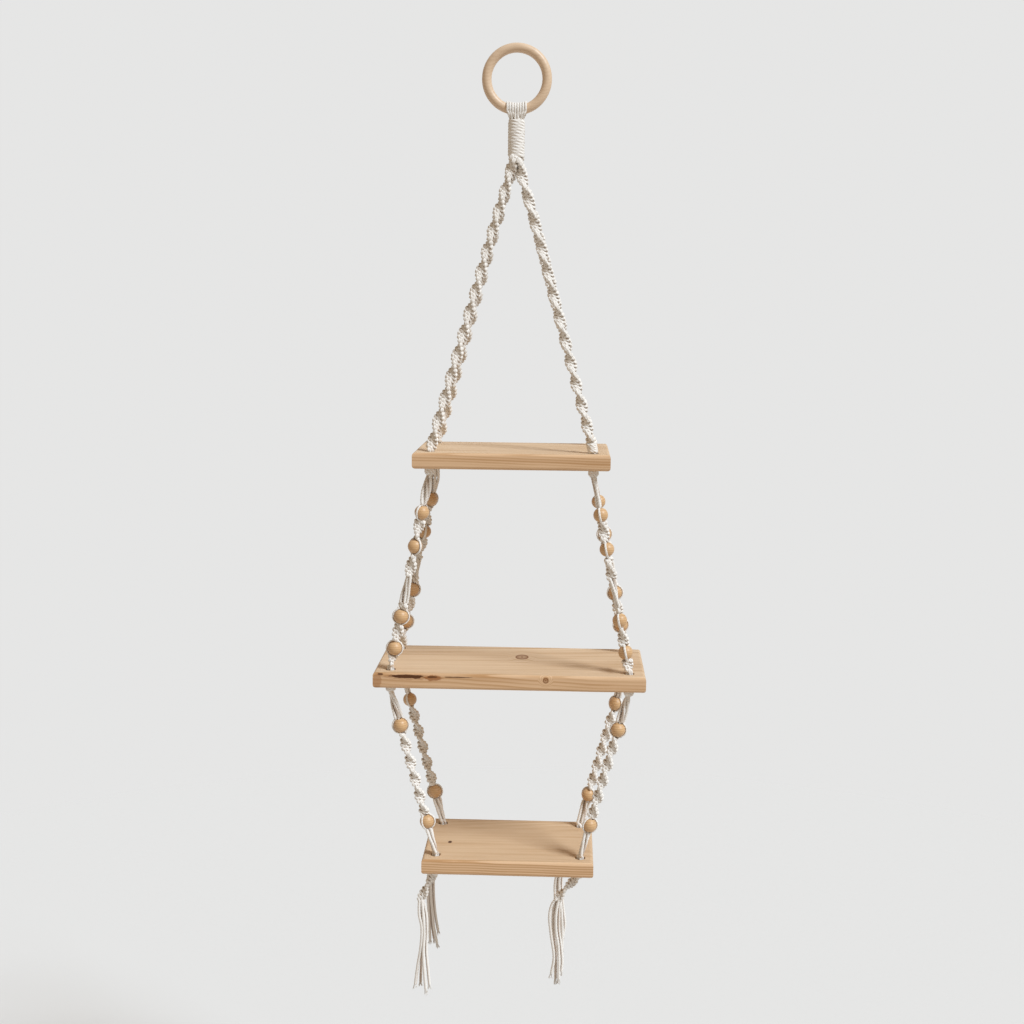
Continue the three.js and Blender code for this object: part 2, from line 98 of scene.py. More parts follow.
# The routes of the four loose strands of each rope, in mm from the centre of its last knot
tail_routes = {
    "front_left": (
        ((-2, -1, -1), (-2, -2, -20), (1, -2, -36), (0, -2, -60), (-4, -1, -86), (-7, -1, -110)),
        ((-1, 2, -1), (-1, 2, -20), (1, 3, -39), (1, 3, -65), (0, 3, -88), (-1, 3, -109)),
        ((1, -1, -1), (3, -2, -24), (4, -2, -46), (3, -3, -65), (4, -3, -90), (6, -2, -116)),
        ((2, 1, -1), (6, 2, -20), (7, 2, -39), (6, 3, -65), (8, 3, -90), (10, 3, -112)),
    ),
    "front_right": (
        ((-2, -1, 0), (-7, -1, -8), (-10, -2, -21), (-8, -2, -45), (-4, -2, -75), (-7, -2, -96)),
        ((-2, 2, 0), (-5, 2, -14), (-6, 2, -30), (-4, 3, -55), (-2, 2, -80), (-2, 2, -105)),
        ((1, -1, -1), (-2, -2, -17), (-2, -2, -40), (1, -3, -60), (2, -3, -80), (2, -2, -103)),
        ((2, 1, -1), (1, 2, -19), (1, 2, -40), (4, 2, -60), (6, 1, -80), (5, 1, -94)),
    ),
    "back_left": (
        ((-2, -1, 0), (-5, -2, -20), (-5, -2, -40), (-4, -2, -60), (-3, -1, -80), (-2, -1, -101)),
        ((-1, 2, -1), (-3, 2, -20), (-3, 3, -40), (-2, 3, -60), (0, 3, -82), (3, 3, -102)),
        ((1, -1, -1), (-1, -2, -20), (-1, -2, -40), (1, -2, -62), (3, -2, -84), (7, -2, -106)),
        ((2, 1, -1), (2, 2, -18), (2, 2, -36), (3, 2, -54), (5, 2, -72), (8, 2, -90)),
    ),
    "back_right": (
        ((-2, -1, 0), (-7, -2, -20), (-7, -2, -42), (-5, -2, -68), (-3, -1, -92), (-3, -1, -116)),
        ((-2, 2, -1), (-5, 2, -22), (-4, 3, -46), (-1, 3, -72), (0, 3, -98), (0, 3, -125)),
        ((1, -1, -1), (-2, -2, -20), (0, -2, -44), (2, -3, -66), (3, -3, -88), (3, -2, -111)),
        ((2, 1, -1), (1, 2, -20), (2, 2, -40), (4, 2, -60), (6, 2, -78), (4, 2, -95)),
    ),
}

# For each bead, how far round the rope its two outer cords lie, in degrees from the right and seen
# from above, and by how much each of them comes nearer to the front
bead_turns = {
    "middle": {
        "front_left": ((236, 0), (318, 0), (186, 0), (184, 0)),
        "front_right": ((262, 0), (262, 0), (260, 0), (267, 0)),
        "back_left": ((212, 0), (286, 0), (180, 0), (180, 0)),
        "back_right": ((250, 0), (200, 0), (185, 0), (190, 0)),
    },
    "lower": {
        "front_left": ((190, 0), (210, 28)),
        "front_right": ((178, 0), (200, 12)),
        "back_left": ((256, 0), (180, 0)),
        "back_right": ((320, 0), (322, 0)),
    },
}

# For each sinnet, in mm: where its wide side first faces the front, then how long a half turn is
# at its rope's start and at its end
sinnet_turnings = {
    "upper": {
        "front_left": (45.5, 23.1, 27.0),
        "front_right": (58.5, 30.1, 23.4),
        "back_left": (292, 25, 23.0),
        "back_right": (25, 26, 24.5),
    },
    "middle": {
        "front_left": (64, 26, 26),
        "front_right": (71, 26, 26),
        "back_left": (52, 26, 26),
        "back_right": (80, 26, 26),
    },
    "lower": {
        "front_left": (71.7, 21.5, 21.5),
        "front_right": (72.2, 20.8, 20.8),
        "back_left": (87.3, 20.9, 20.9),
        "back_right": (69.6, 19.9, 19.9),
    },
}


# Sizes and colours that a user would change


def length_property(name, description, default):
    return bpy.props.FloatProperty(
        name=name, description=description, default=default, unit="LENGTH", precision=4,
    )


def colour_property(name, description, default):
    return bpy.props.FloatVectorProperty(
        name=name, description=description, default=default, subtype="COLOR", min=0, max=1,
    )


class CordSizes(bpy.types.PropertyGroup):
    """Sizes of the cotton cord and of the knots made with it."""

    diameter: length_property("Cord Diameter", "Thickness of a slack cord", 2.7 * mm)
    tail_diameter: length_property(
        "Loose Strand Diameter", "Thickness of a loose strand, whose lay has opened", 3.5 * mm)
    knotted_diameter: length_property(
        "Knotting Cord Width", "Width of a cord where it is pressed flat in a knot", 4.6 * mm)
    wrap_diameter: length_property("Wrap Cord Width", "Width of the cord wound round the neck", 3.9 * mm)
    lay: length_property("Lay", "Length of cord in which its plies turn once", 10.8 * mm)
    half_knot: length_property("Half Knot", "Height of one half knot in a twisted sinnet", 3.7 * mm)
    sinnet_half_turn: length_property(
        "End Sinnet Half Turn", "Length in which the end sinnets turn half round", 26 * mm)
    wrap_turns: bpy.props.IntProperty(
        name="Wrap Turns", description="Turns of the cord that gathers the strands", default=13,
    )


class WoodSizes(bpy.types.PropertyGroup):
    """Sizes of the boards and the beads that the frame doesn't give."""

    edge_radius: length_property("Edge Radius", "Rounding along a board's edges", 4 * mm)
    corner_radius: length_property(
        "Corner Radius", "Rounding of a board's corners, seen from above", 5 * mm)
    hole_diameter: length_property("Hole Diameter", "Width of a board's rope holes", 12 * mm)
    hole_rim: length_property("Hole Rim", "Width of the eased rim of a rope hole", 0.7 * mm)
    hole_inset: length_property(
        "Hole Inset", "From a board's end to the middle of its holes", 19 * mm)
    bottom_hole_inset: length_property(
        "Bottom Hole Inset", "The same on the bottom board", 15.5 * mm)
    bead_diameter: length_property("Bead Diameter", "Width of a bead", 17 * mm)
    bead_bore: length_property("Bead Bore", "Width of the hole through a bead", 6 * mm)


class Finishes(bpy.types.PropertyGroup):
    """Colours of the finishes, and the colour of the painted shade on the cotton."""

    cotton: colour_property("Cotton", "Lit cotton", (0.91, 0.875, 0.825))
    # The colour that painted shade darkens the cotton towards
    cotton_painted_shade: colour_property("Cotton Painted Shade", "Cotton between the cords", (0.40, 0.25, 0.14))
    pine: colour_property("Pine", "Early wood of the boards", (0.73, 0.535, 0.355))
    pine_late: colour_property("Pine Late Wood", "Late wood of the boards", (0.50, 0.305, 0.155))
    pine_edge: colour_property("Pine Edge", "Tint of the boards' front and back", (1.0, 0.91, 0.82))
    pine_knot: colour_property("Pine Knot", "Knots in the boards", (0.22, 0.085, 0.025))
    pine_bark: colour_property("Pine Bark", "Bark left in the boards", (0.09, 0.030, 0.008))
    pine_resin: colour_property("Pine Resin", "Reddish stains in the boards", (0.32, 0.12, 0.035))
    beech: colour_property("Ring Wood", "Pale wood of the ring", (0.74, 0.55, 0.38))
    beech_late: colour_property("Ring Grain", "Grain lines of the ring", (0.48, 0.30, 0.17))
    bead: colour_property("Bead Wood", "Tan wood of the beads", (0.66, 0.42, 0.215))
    bead_late: colour_property("Bead Grain", "Grain lines of the beads", (0.48, 0.27, 0.12))
    studio: colour_property("Studio", "Floor and backdrop", (0.79, 0.79, 0.785))


# Selection, and small helpers for meshes


def nothing_selected():
    if bpy.context.object and bpy.context.object.mode != "OBJECT":
        bpy.ops.object.mode_set(mode="OBJECT")
    bpy.ops.object.select_all(action="DESELECT")


def only_selected(piece):
    nothing_selected()
    piece.select_set(True)
    bpy.context.view_layer.objects.active = piece


def place_in_mesh(piece):
    """Puts the place, turn and size of a piece into its mesh."""
    only_selected(piece)
    bpy.ops.object.transform_apply(location=True, rotation=True, scale=True)


def smoothed(piece, angle):
    """Shades a piece smooth, but for edges that are sharper than an angle."""
    only_selected(piece)
    bpy.ops.object.shade_smooth_by_angle(angle=angle)


def copy_of(piece, name, place):
    """A copy with a mesh of its own, moved and turned by a matrix."""
    mesh = piece.data.copy()
    mesh.transform(place)
    mesh.name = name
    made = bpy.data.objects.new(name, mesh)
    bpy.context.scene.collection.objects.link(made)
    return made


def start_profile(name, points):
    """A new object holding one open line of points, ready to be spun in edit mode."""
    mesh = bpy.data.meshes.new(name)
    edges = [(i, i + 1) for i in range(len(points) - 1)]
    mesh.from_pydata(points, edges, [])
    piece = bpy.data.objects.new(name, mesh)
    bpy.context.scene.collection.objects.link(piece)
    only_selected(piece)
    return piece


def spun(piece, centre, axis, steps):
    """Spins the piece's line full round, closes it and points its faces outwards."""
    bpy.ops.object.mode_set(mode="EDIT")
    bpy.ops.mesh.select_all(action="SELECT")
    bpy.ops.mesh.spin(steps=steps, angle=full_turn, center=centre, axis=axis)
    bpy.ops.mesh.select_all(action="SELECT")
    bpy.ops.mesh.remove_doubles(threshold=0.01 * mm)
    bpy.ops.mesh.normals_make_consistent(inside=False)
    bpy.ops.object.mode_set(mode="OBJECT")


# Smooth courses of values and points


def smooth_step(value, start, end):
    share = np.clip((np.asarray(value, float) - start) / (end - start), 0, 1)
    return share * share * (3 - 2 * share)


def run_of(points):
    """The length along a line up to each of its points."""
    steps = np.linalg.norm(np.diff(points, axis=0), axis=1)
    return np.concatenate([[0], np.cumsum(steps)])


def read_along(points, values, wanted):
    run = run_of(points)
    values = np.asarray(values, float)
    if values.ndim == 1:
        return np.interp(wanted, run, values)
    return np.stack([np.interp(wanted, run, values[:, k]) for k in range(values.shape[1])], 1)


def smooth_line(places, spacing=0.5 * mm):
    """A centripetal Catmull-Rom line through the places, with evenly spread points."""
    p = np.asarray(places, float)
    p = np.vstack([2 * p[0] - p[1], p, 2 * p[-1] - p[-2]])
    pieces = []
    for i in range(1, len(p) - 2):
        a, b, c, d = p[i - 1:i + 3]
        t1 = math.sqrt(np.linalg.norm(b - a))
        t2 = t1 + math.sqrt(np.linalg.norm(c - b))
        t3 = t2 + math.sqrt(np.linalg.norm(d - c))
        count = max(4, int(np.linalg.norm(c - b) / spacing * 2))
        t = np.linspace(t1, t2, count, endpoint=i == len(p) - 3)[:, None]
        ab = a + (b - a) * t / t1
        bc = b + (c - b) * (t - t1) / (t2 - t1)
        cd = c + (d - c) * (t - t2) / (t3 - t2)
        abc = ab + (bc - ab) * t / t2
        bcd = bc + (cd - bc) * (t - t1) / (t3 - t1)
        pieces.append(abc + (bcd - abc) * (t - t1) / (t2 - t1))
    line = np.vstack(pieces)
    length = run_of(line)[-1]
    wanted = np.linspace(0, length, max(3, int(round(length / spacing)) + 1))
    return read_along(line, line, wanted)


wander_rates = (1, 1.7, 2.9)
wander_peak = 1.8


def wander(rng, run, wave_length, amount):
    """A slow seeded waver along a line: three waves that together reach about the amount."""
    total = np.zeros_like(run)
    for rate in wander_rates:
        total += np.sin(full_turn * run * rate / wave_length + rng.uniform(0, full_turn)) / rate
    return amount * total / wander_peak


# Cords


ring_sides = 12
plies = 3
ply_depth = 0.08
# A cut end narrows to this share of the cord's width, over this length
end_share = 0.62
end_rounding = 0.9 * mm
# How squarely a skin faces its axis, from 0 to 1, where the painted shade on its inner side starts
painted_shade_start = 0.2
# A way that no cord here runs along, to start its sides from
sideways_hint = (0.3, 0.8, 0.5)


def unit(vectors):
    return vectors / np.maximum(np.linalg.norm(vectors, axis=-1, keepdims=True), 1e-12)


def side_frames(points):
    """The ways that a line runs, and two directions square to it carried along without twist."""
    ways = unit(np.gradient(points, axis=0))
    first = np.cross(ways[0], sideways_hint)
    sides = [first / np.linalg.norm(first)]
    for way in ways[1:]:
        side = sides[-1] - way * (sides[-1] @ way)
        sides.append(side / np.linalg.norm(side))
    sides = np.array(sides)
    return ways, sides, np.cross(ways, sides)


def cord_skin(course, lay, phase):
    """The skin of one laid cord: its points, faces, and per corner its place round and along."""
    spacing = course.get("spacing", lay / ring_sides)
    length = run_of(course["points"])[-1]
    count = max(4, int(round(length / spacing)))
    wanted = np.linspace(0, length, count + 1)
    centre, radius, painted_shade_share, flat, axis = (
        read_along(course["points"], course[name], wanted)
        for name in ("points", "radius", "painted_shade_share", "flat", "axis"))
    ways, first, second = side_frames(centre)
    share = np.arange(ring_sides) / ring_sides
    turn = share * full_turn
    along = wanted / lay + phase
    lobes = 1 + ply_depth * np.cos(full_turn * plies * (share[None, :] - along[:, None]))
    from_end = np.minimum(wanted, length - wanted)
    rim = end_share + (1 - end_share) * np.sqrt(np.minimum(1, from_end / end_rounding))
    reach = (radius * rim)[:, None] * lobes
    out = np.cos(turn)[None, :, None] * first[:, None] + np.sin(turn)[None, :, None] * second[:, None]
    away = centre - axis
    away = unit(away - ways * np.einsum("ij,ij->i", away, ways)[:, None])
    facing = np.einsum("ijk,ik->ij", out, away)
    skin = reach[..., None] * out
    skin -= ((1 - flat)[:, None] * reach * facing)[..., None] * away[:, None]
    points = centre[:, None] + skin
    # Painted shade: the side of a cord that faces its axis, where the cords shade each other, is
    # darkened, and so is all of a cord by its painted shade share
    painted_shade = np.maximum(smooth_step(-facing, painted_shade_start, 1.0), painted_shade_share[:, None])
    rows = np.arange(count)[:, None] * ring_sides
    column = np.arange(ring_sides)[None, :]
    beside = (column + 1) % ring_sides
    quads = np.stack([rows + column, rows + beside, rows + ring_sides + beside,
                      rows + ring_sides + column], -1).reshape(-1, 4)
    round_share = np.broadcast_to(np.stack([share, share + 1 / ring_sides, share + 1 / ring_sides,
                                            share], -1)[None], (count, ring_sides, 4))
    here, ahead = along[:-1, None], along[1:, None]
    along_share = np.broadcast_to(np.stack([here, here, ahead, ahead], -1), (count, ring_sides, 4))
    corner_places = np.stack([round_share, along_share], -1).reshape(-1, 2)
    last = count * ring_sides
    caps = [list(range(ring_sides))[::-1], [last + k for k in range(ring_sides)]]
    cap_places = [(k / ring_sides, along[0]) for k in caps[0]]
    cap_places += [(k / ring_sides, along[-1]) for k in range(ring_sides)]
    return points.reshape(-1, 3), painted_shade.reshape(-1), quads, corner_places, caps, cap_places


def cords_piece(name, courses, lay, seed):
    """One piece made of laid cords, each a closed skin, with its lay in a UV map."""
    rng = np.random.default_rng(seed)
    points, painted_shades, faces, places = [], [], [], []
    base = 0
    for course in courses:
        skin = cord_skin(course, lay, rng.uniform())
        points.append(skin[0])
        painted_shades.append(skin[1])
        faces += (skin[2] + base).tolist()
        places.append(skin[3])
        faces += [[index + base for index in cap] for cap in skin[4]]
        places.append(np.array(skin[5]))
        base += len(skin[0])
    mesh = bpy.data.meshes.new(name)
    mesh.from_pydata(np.vstack(points).tolist(), [], faces)
    mesh.uv_layers.new(name="lay").data.foreach_set("uv", np.vstack(places).astype(np.float32).ravel())
    # The painted shade of each point, which the cotton's colour reads
    painted_shade = mesh.attributes.new("painted_shade", "FLOAT", "POINT")
    painted_shade.data.foreach_set("value", np.concatenate(painted_shades).astype(np.float32))
    mesh.polygons.foreach_set("use_smooth", [len(face) == 4 for face in faces])
    mesh.update()
    piece = bpy.data.objects.new(name, mesh)
    bpy.context.scene.collection.objects.link(piece)
    piece.data.materials.append(cotton_material())
    return piece


def plain_course(points, diameter, axis, flat=1.0, painted_shade_share=0.0):
    """A cord along a line; its flattened side, with painted shade on it, faces the line called axis."""
    points = np.asarray(points, float)
    rows = np.ones(len(points))
    return {"points": points, "radius": rows * diameter / 2, "painted_shade_share": rows * painted_shade_share,
            "flat": rows * flat, "axis": np.broadcast_to(np.asarray(axis, float), points.shape)}


# Knotted ropes


blend_length = 3 * mm
# A sinnet's knotting cords run on a flattened round about its core and turn down at its narrow sides
sinnet_long = 5.9 * mm
sinnet_short = 1.25 * mm
sinnet_squareness = 2.2
side_lag = 1.2 * mm
side_angle = 0.26
least_knotting_size = 0.85
knotted_flat = 0.5
knotted_spacing = 0.7 * mm
core_half = 2.3 * mm
core_diameter = 3.8 * mm
core_flat = 0.4
# How much painted shade a core cord gets, from 0 to 1: in a sinnet, and in a knot or bead
sinnet_core_shade = 0.8
knot_core_shade = 0.5
# The knot under a board, measured back from the rope's end
stopper_start = 9 * mm
stopper_end = 2.5 * mm
stopper_radius = 4.4 * mm
stopper_turns = 1.8
stopper_width_share = 0.9
stopper_flat = 0.85
stopper_end_size = 0.85
# Loose strands lie as a zigzag row, and are pressed flat against a bead
strand_diameter = 3.5 * mm
row_outer = 3.7 * mm
row_inner = 1.3 * mm
row_stagger = 1.25 * mm
strand_twist_length = 190 * mm
beside_bead_diameter = 2.7 * mm
beside_bead_flat = 0.7
# In the boards' holes the strands are packed in a square
gathered_radius = 2.8 * mm
gathered_diameter = 3.9 * mm
bead_half_span = 9.3 * mm
bead_cord_gap = 0.05 * mm
bead_core_diameter = 2.5 * mm
# How far the rope's cords stray from their places: for each, the length and the reach of its waves
rope_sampling = 0.1 * mm
tight_stray = (34 * mm, 0.10 * mm)
slack_stray = (40 * mm, 0.35 * mm)
width_stray = (9 * mm, 0.035)
# Where the four strands lie in the neck, from its middle
neck_outer_radius = 5.25 * mm
neck_inner_radius = 2.0 * mm
neck_overlap = 7 * mm


def span_weights(s, spans):
    """How much each span rules at each place along the rope, adding up to 1."""
    edges = [span["from"] for span in spans] + [spans[-1]["to"]]
    rises = []
    for edge in edges[1:-1]:
        rises.append(smooth_step(s, edge - blend_length / 2, edge + blend_length / 2))
    weights = []
    for i in range(len(spans)):
        start = rises[i - 1] if i else np.ones_like(s)
        end = rises[i] if i < len(rises) else np.zeros_like(s)
        weights.append(start * (1 - end))
    return weights


def cord_azimuth(s, spans, first):
    """The way the knotting cords face: it turns fast in knots and meets each bead at its turn."""
    azimuth = first
    knots = [(spans[0]["from"], azimuth)]
    for i, span in enumerate(spans):
        length = span["to"] - span["from"]
        advance = length * span.get("turn_rate", 0)
        following = spans[i + 1] if i + 1 < len(spans) else {}
        if "azimuth" in following:
            wanted = following["azimuth"]
            advance += (wanted - azimuth - advance + math.pi / 2) % math.pi - math.pi / 2
        azimuth += advance
        knots.append((span["to"], azimuth))
    places, values = zip(*knots)
    return np.interp(s, places, values)


def squared_round(long_half, short_half, angle):
    """The radius of a flattened round with squared shoulders, at an angle from its long side."""
    power = sinnet_squareness
    return (np.abs(np.cos(angle) / long_half) ** power
            + np.abs(np.sin(angle) / short_half) ** power) ** (-1 / power)


def band_turn(s, total, turning):
    """The way a sinnet's wide side faces, for half turns that start and end at given lengths."""
    first, start, end = turning
    if abs(end - start) < 1e-6:
        return math.pi * (s - first) / start
    growth = (end - start) / total
    return math.pi / growth * (np.log(start + growth * s) - math.log(start + growth * first))


def knotting_place(span, s, turn, band, sizes):
    """Radius, angle, lag along the rope, diameter and flatness of a knotting cord in one span."""
    kind = span["kind"]
    size = span_size(span, s)
    if kind == "sinnet":
        facing = turn - band
        reach = squared_round(sinnet_long, sinnet_short, facing)
        from_side = (facing + math.pi / 2) % math.pi - math.pi / 2
        lag = side_lag * (np.tanh(from_side / side_angle) - from_side * 2 / math.pi)
        width = sizes.knotted_diameter * np.maximum(size, least_knotting_size)
        return reach * size, turn, lag, width, knotted_flat
    if kind == "knot":
        width = sizes.knotted_diameter * stopper_width_share
        return span["radius"] * size, turn, 0.0, width, stopper_flat
    if kind == "bead":
        outer = span["radius"] + beside_bead_diameter * beside_bead_flat / 2 + bead_cord_gap
        from_middle = np.clip(s - span["middle"], -outer, outer)
        reach = np.sqrt(np.maximum(outer ** 2 - from_middle ** 2, row_outer ** 2))
        closer = span["squeeze"] * np.sign(np.cos(turn - span["azimuth"]))
        return reach, turn + closer, 0.0, beside_bead_diameter, beside_bead_flat
    if kind == "strands":
        return (math.hypot(row_outer, row_stagger), turn + math.atan2(row_stagger, row_outer), 0.0,
                strand_diameter, 1.0)
    return gathered_radius * size, turn, 0.0, gathered_diameter * size, 1.0


def core_place(span, s, azimuth, band):
    """Radius, angle and diameter of a core cord in one span, its share of painted shade, and its
    flatness.
    """
    kind = span["kind"]
    size = span_size(span, s)
    if kind == "sinnet":
        return core_half * size, band, core_diameter * size, sinnet_core_shade, core_flat
    if kind in ("knot", "bead"):
        return row_inner, band, bead_core_diameter, knot_core_shade, 1.0
    if kind == "strands":
        return (math.hypot(row_inner, row_stagger), azimuth - math.atan2(row_stagger, row_inner),
                strand_diameter, 0.0, 1.0)
    return gathered_radius * size, azimuth + math.pi / 2, gathered_diameter * size, 0.0, 1.0


def span_size(span, s):
    size = span.get("size", 1.0)
    if isinstance(size, tuple):
        return size[0] + (size[1] - size[0]) * smooth_step(s, span["from"], span["to"])
    return size


def rope_courses(line, spans, turning, cord_start, sizes, seed, bundle=None):
    """The four cords of a rope that follows a line: two in its core and two knotted round them."""
    rng = np.random.default_rng(seed)
    total = run_of(line)[-1]
    s = np.linspace(0, total, int(total / rope_sampling) + 1)
    centre = read_along(line, line, s)
    ways = unit(np.gradient(centre, axis=0))
    across = unit(np.array((1.0, 0, 0)) - ways * ways[:, :1])
    back = np.cross(across, ways)
    weights = span_weights(s, spans)
    band = band_turn(s, total, turning)
    azimuth = cord_azimuth(s, spans, cord_start)
    slack = sum(weight * (span["kind"] == "strands") for span, weight in zip(spans, weights))
    flat_way = across * -np.sin(band)[:, None] + back * np.cos(band)[:, None]
    courses = []
    for number in range(4):
        half_round = math.pi * (number % 2)
        u, v, lag, painted_shade_share, thick, flat = np.zeros((6, len(s)))
        for span, weight in zip(spans, weights):
            if span["kind"] == "bundle":
                u += weight * (bundle[number][0] - centre[:, 0])
                v += weight * (bundle[number][1] - centre[:, 1])
                thick += weight * sizes.diameter
                flat += weight
                continue
            if number < 2:
                place = knotting_place(span, s, azimuth + half_round, band, sizes)
                reach, angle, step, diameter, squash = place
                lag += weight * step
                flat += weight * squash
            else:
                reach, angle, diameter, painted_core_shade, squash = core_place(span, s, azimuth, band)
                angle = angle + half_round
                painted_shade_share += weight * painted_core_shade
                flat += weight * squash
            thick += weight * diameter
            u += weight * reach * np.cos(angle)
            v += weight * reach * np.sin(angle)
        u += wander(rng, s, *tight_stray) + slack * wander(rng, s, *slack_stray)
        v += wander(rng, s, *tight_stray) + slack * wander(rng, s, *slack_stray)
        thick *= 1 + wander(rng, s, *width_stray)
        level = centre + ways * lag[:, None]
        points = level + across * u[:, None] + back * v[:, None]
        course = {"points": points, "radius": thick / 2, "painted_shade_share": painted_shade_share, "flat": flat, "axis": level}
        if number < 2:
            course["spacing"] = knotted_spacing
        else:
            course["axis"] = points - flat_way * mm
        courses.append(course)
    return courses


def sinnet_span(start, end, sizes, size=1.0):
    return {"kind": "sinnet", "from": start, "to": end, "size": size,
            "turn_rate": math.pi / sizes.half_knot}


def strands_span(start, end):
    return {"kind": "strands", "from": start, "to": end, "turn_rate": full_turn / strand_twist_length}


def gathered_span(start, end, size=1.0):
    return {"kind": "gathered", "from": start, "to": end, "size": size,
            "turn_rate": full_turn / strand_twist_length}


def knot_span(start, end, radius, turns):
    return {"kind": "knot", "from": start, "to": end, "radius": radius,
            "turn_rate": turns * full_turn / (end - start)}


def stopper_spans(total):
    """The knot at a rope's end, under the board that it carries."""
    start, end = total - stopper_start, total - stopper_end
    return [knot_span(start, end, stopper_radius, stopper_turns),
            gathered_span(end, total, stopper_end_size)]


def bead_span(middle, turn, bead_radius):
    """A bead: turn is how far round its outer cords lie, in degrees, and how far they close up."""
    degrees, squeeze = turn
    left = 1 if math.cos(math.radians(degrees)) < 0 else -1
    return {"kind": "bead", "from": middle - bead_half_span, "to": middle + bead_half_span,
            "middle": middle, "radius": bead_radius, "azimuth": math.radians(degrees),
            "squeeze": left * math.radians(squeeze)}


def straight(start, end, spacing=1 * mm):
    start, end = np.asarray(start, float), np.asarray(end, float)
    count = int(np.linalg.norm(end - start) / spacing) + 1
    return start + (end - start) * np.linspace(0, 1, count + 1)[:, None]


# Materials


# Where the noise in wood is drawn out: its scale along the grain and across it
broad_stretch = (2.2, 9)
fine_stretch = (14, 70)
streak_stretch = (16, 420)
ragged_stretch = (130, 500)
pine_fibres = (30, 900)
ring_fibres = (60, 1500)
bead_fibres = (90, 1300)
# How far the growth rings stray and tilt, as shares of their waver
fine_waver_share = 0.06
tilt_share = 1.8
# How far a growth ring bows out round a knot, in rings
knot_bow = 2.6
# How much fibres, streaks and fine waves darken the wood, and how high late wood and fibres stand
fibre_share = 0.5
streak_share = 0.22
fine_share = 0.35
late_height = 0.35
fibre_height = 0.8


class Nodes:
    """Makes nodes in a material and links them, so that a pattern reads as one line each."""

    def __init__(self, material):
        self.tree = material.node_tree
        self.shader = self.tree.nodes["Principled BSDF"]

    def new(self, kind, inputs=None, **settings):
        node = self.tree.nodes.new(kind)
        for name, value in settings.items():
            setattr(node, name, value)
        for key, value in (inputs or {}).items():
            self.feed(node.inputs[key], value)
        return node

    def feed(self, socket, value):
        if isinstance(value, bpy.types.NodeSocket):
            self.tree.links.new(value, socket)
        else:
            socket.default_value = value

    def finish(self, **inputs):
        """Sets the shader's inputs, to values or to patterns."""
        for name, value in inputs.items():
            self.feed(self.shader.inputs[name.replace("_", " ")], value)

    def place(self):
        """Places in the object's own frame."""
        return self.new("ShaderNodeTexCoord").outputs["Object"]

    def axes(self, vector):
        return self.new("ShaderNodeSeparateXYZ", {0: vector}).outputs

    def clamped(self, value):
        return self.new("ShaderNodeClamp", {0: value}).outputs[0]

    def maths(self, operation, first, second=0.0):
        return self.new("ShaderNodeMath", {0: first, 1: second}, operation=operation).outputs[0]

    def times(self, first, *others):
        for other in others:
            first = self.maths("MULTIPLY", first, other)
        return first

    def plus(self, first, *others):
        for other in others:
            first = self.maths("ADD", first, other)
        return first

    def less(self, first, second):
        return self.maths("SUBTRACT", first, second)

    def about_zero(self, pattern, reach):
        """A pattern from 0 to 1, moved to vary about zero and scaled."""
        return self.times(self.less(pattern, 0.5), reach)

    def vector(self, operation, first, second=(0, 0, 0)):
        node = self.new("ShaderNodeVectorMath", {0: first, 1: second}, operation=operation)
        return node.outputs["Value" if operation in ("LENGTH", "DISTANCE") else "Vector"]

    def noise(self, vector, scale, detail=2.0, roughness=0.5):
        node = self.new("ShaderNodeTexNoise", {"Vector": vector, "Scale": scale, "Detail": detail,
                                               "Roughness": roughness})
        return node.outputs["Fac"]

    def fibres(self, place, stretch, detail=2.0, roughness=0.5):
        """Noise that is drawn out along X."""
        along, across = stretch
        drawn = self.new("ShaderNodeMapping", {"Vector": place, "Scale": (along, across, across)})
        return self.noise(drawn.outputs[0], 1.0, detail, roughness)

    def ramp(self, value, start, end):
        node = self.new("ShaderNodeMapRange", {"Value": value, "From Min": start, "From Max": end},
                        interpolation_type="SMOOTHSTEP")
        return node.outputs[0]

    def mix(self, share, first, second, blend_type="MIX"):
        node = self.new("ShaderNodeMix", data_type="RGBA", blend_type=blend_type)
        self.feed(node.inputs[0], share)
        self.feed(node.inputs[6], first)
        self.feed(node.inputs[7], second)
        return node.outputs[2]

    def bump(self, height, strength, distance):
        node = self.new("ShaderNodeBump", {"Height": height, "Strength": strength,
                                           "Distance": distance})
        self.tree.links.new(node.outputs[0], self.shader.inputs["Normal"])


def new_material(name):
    material = bpy.data.materials.new(name)
    material.use_nodes = True
    return material


def shade(colour):
    return (*colour, 1.0)


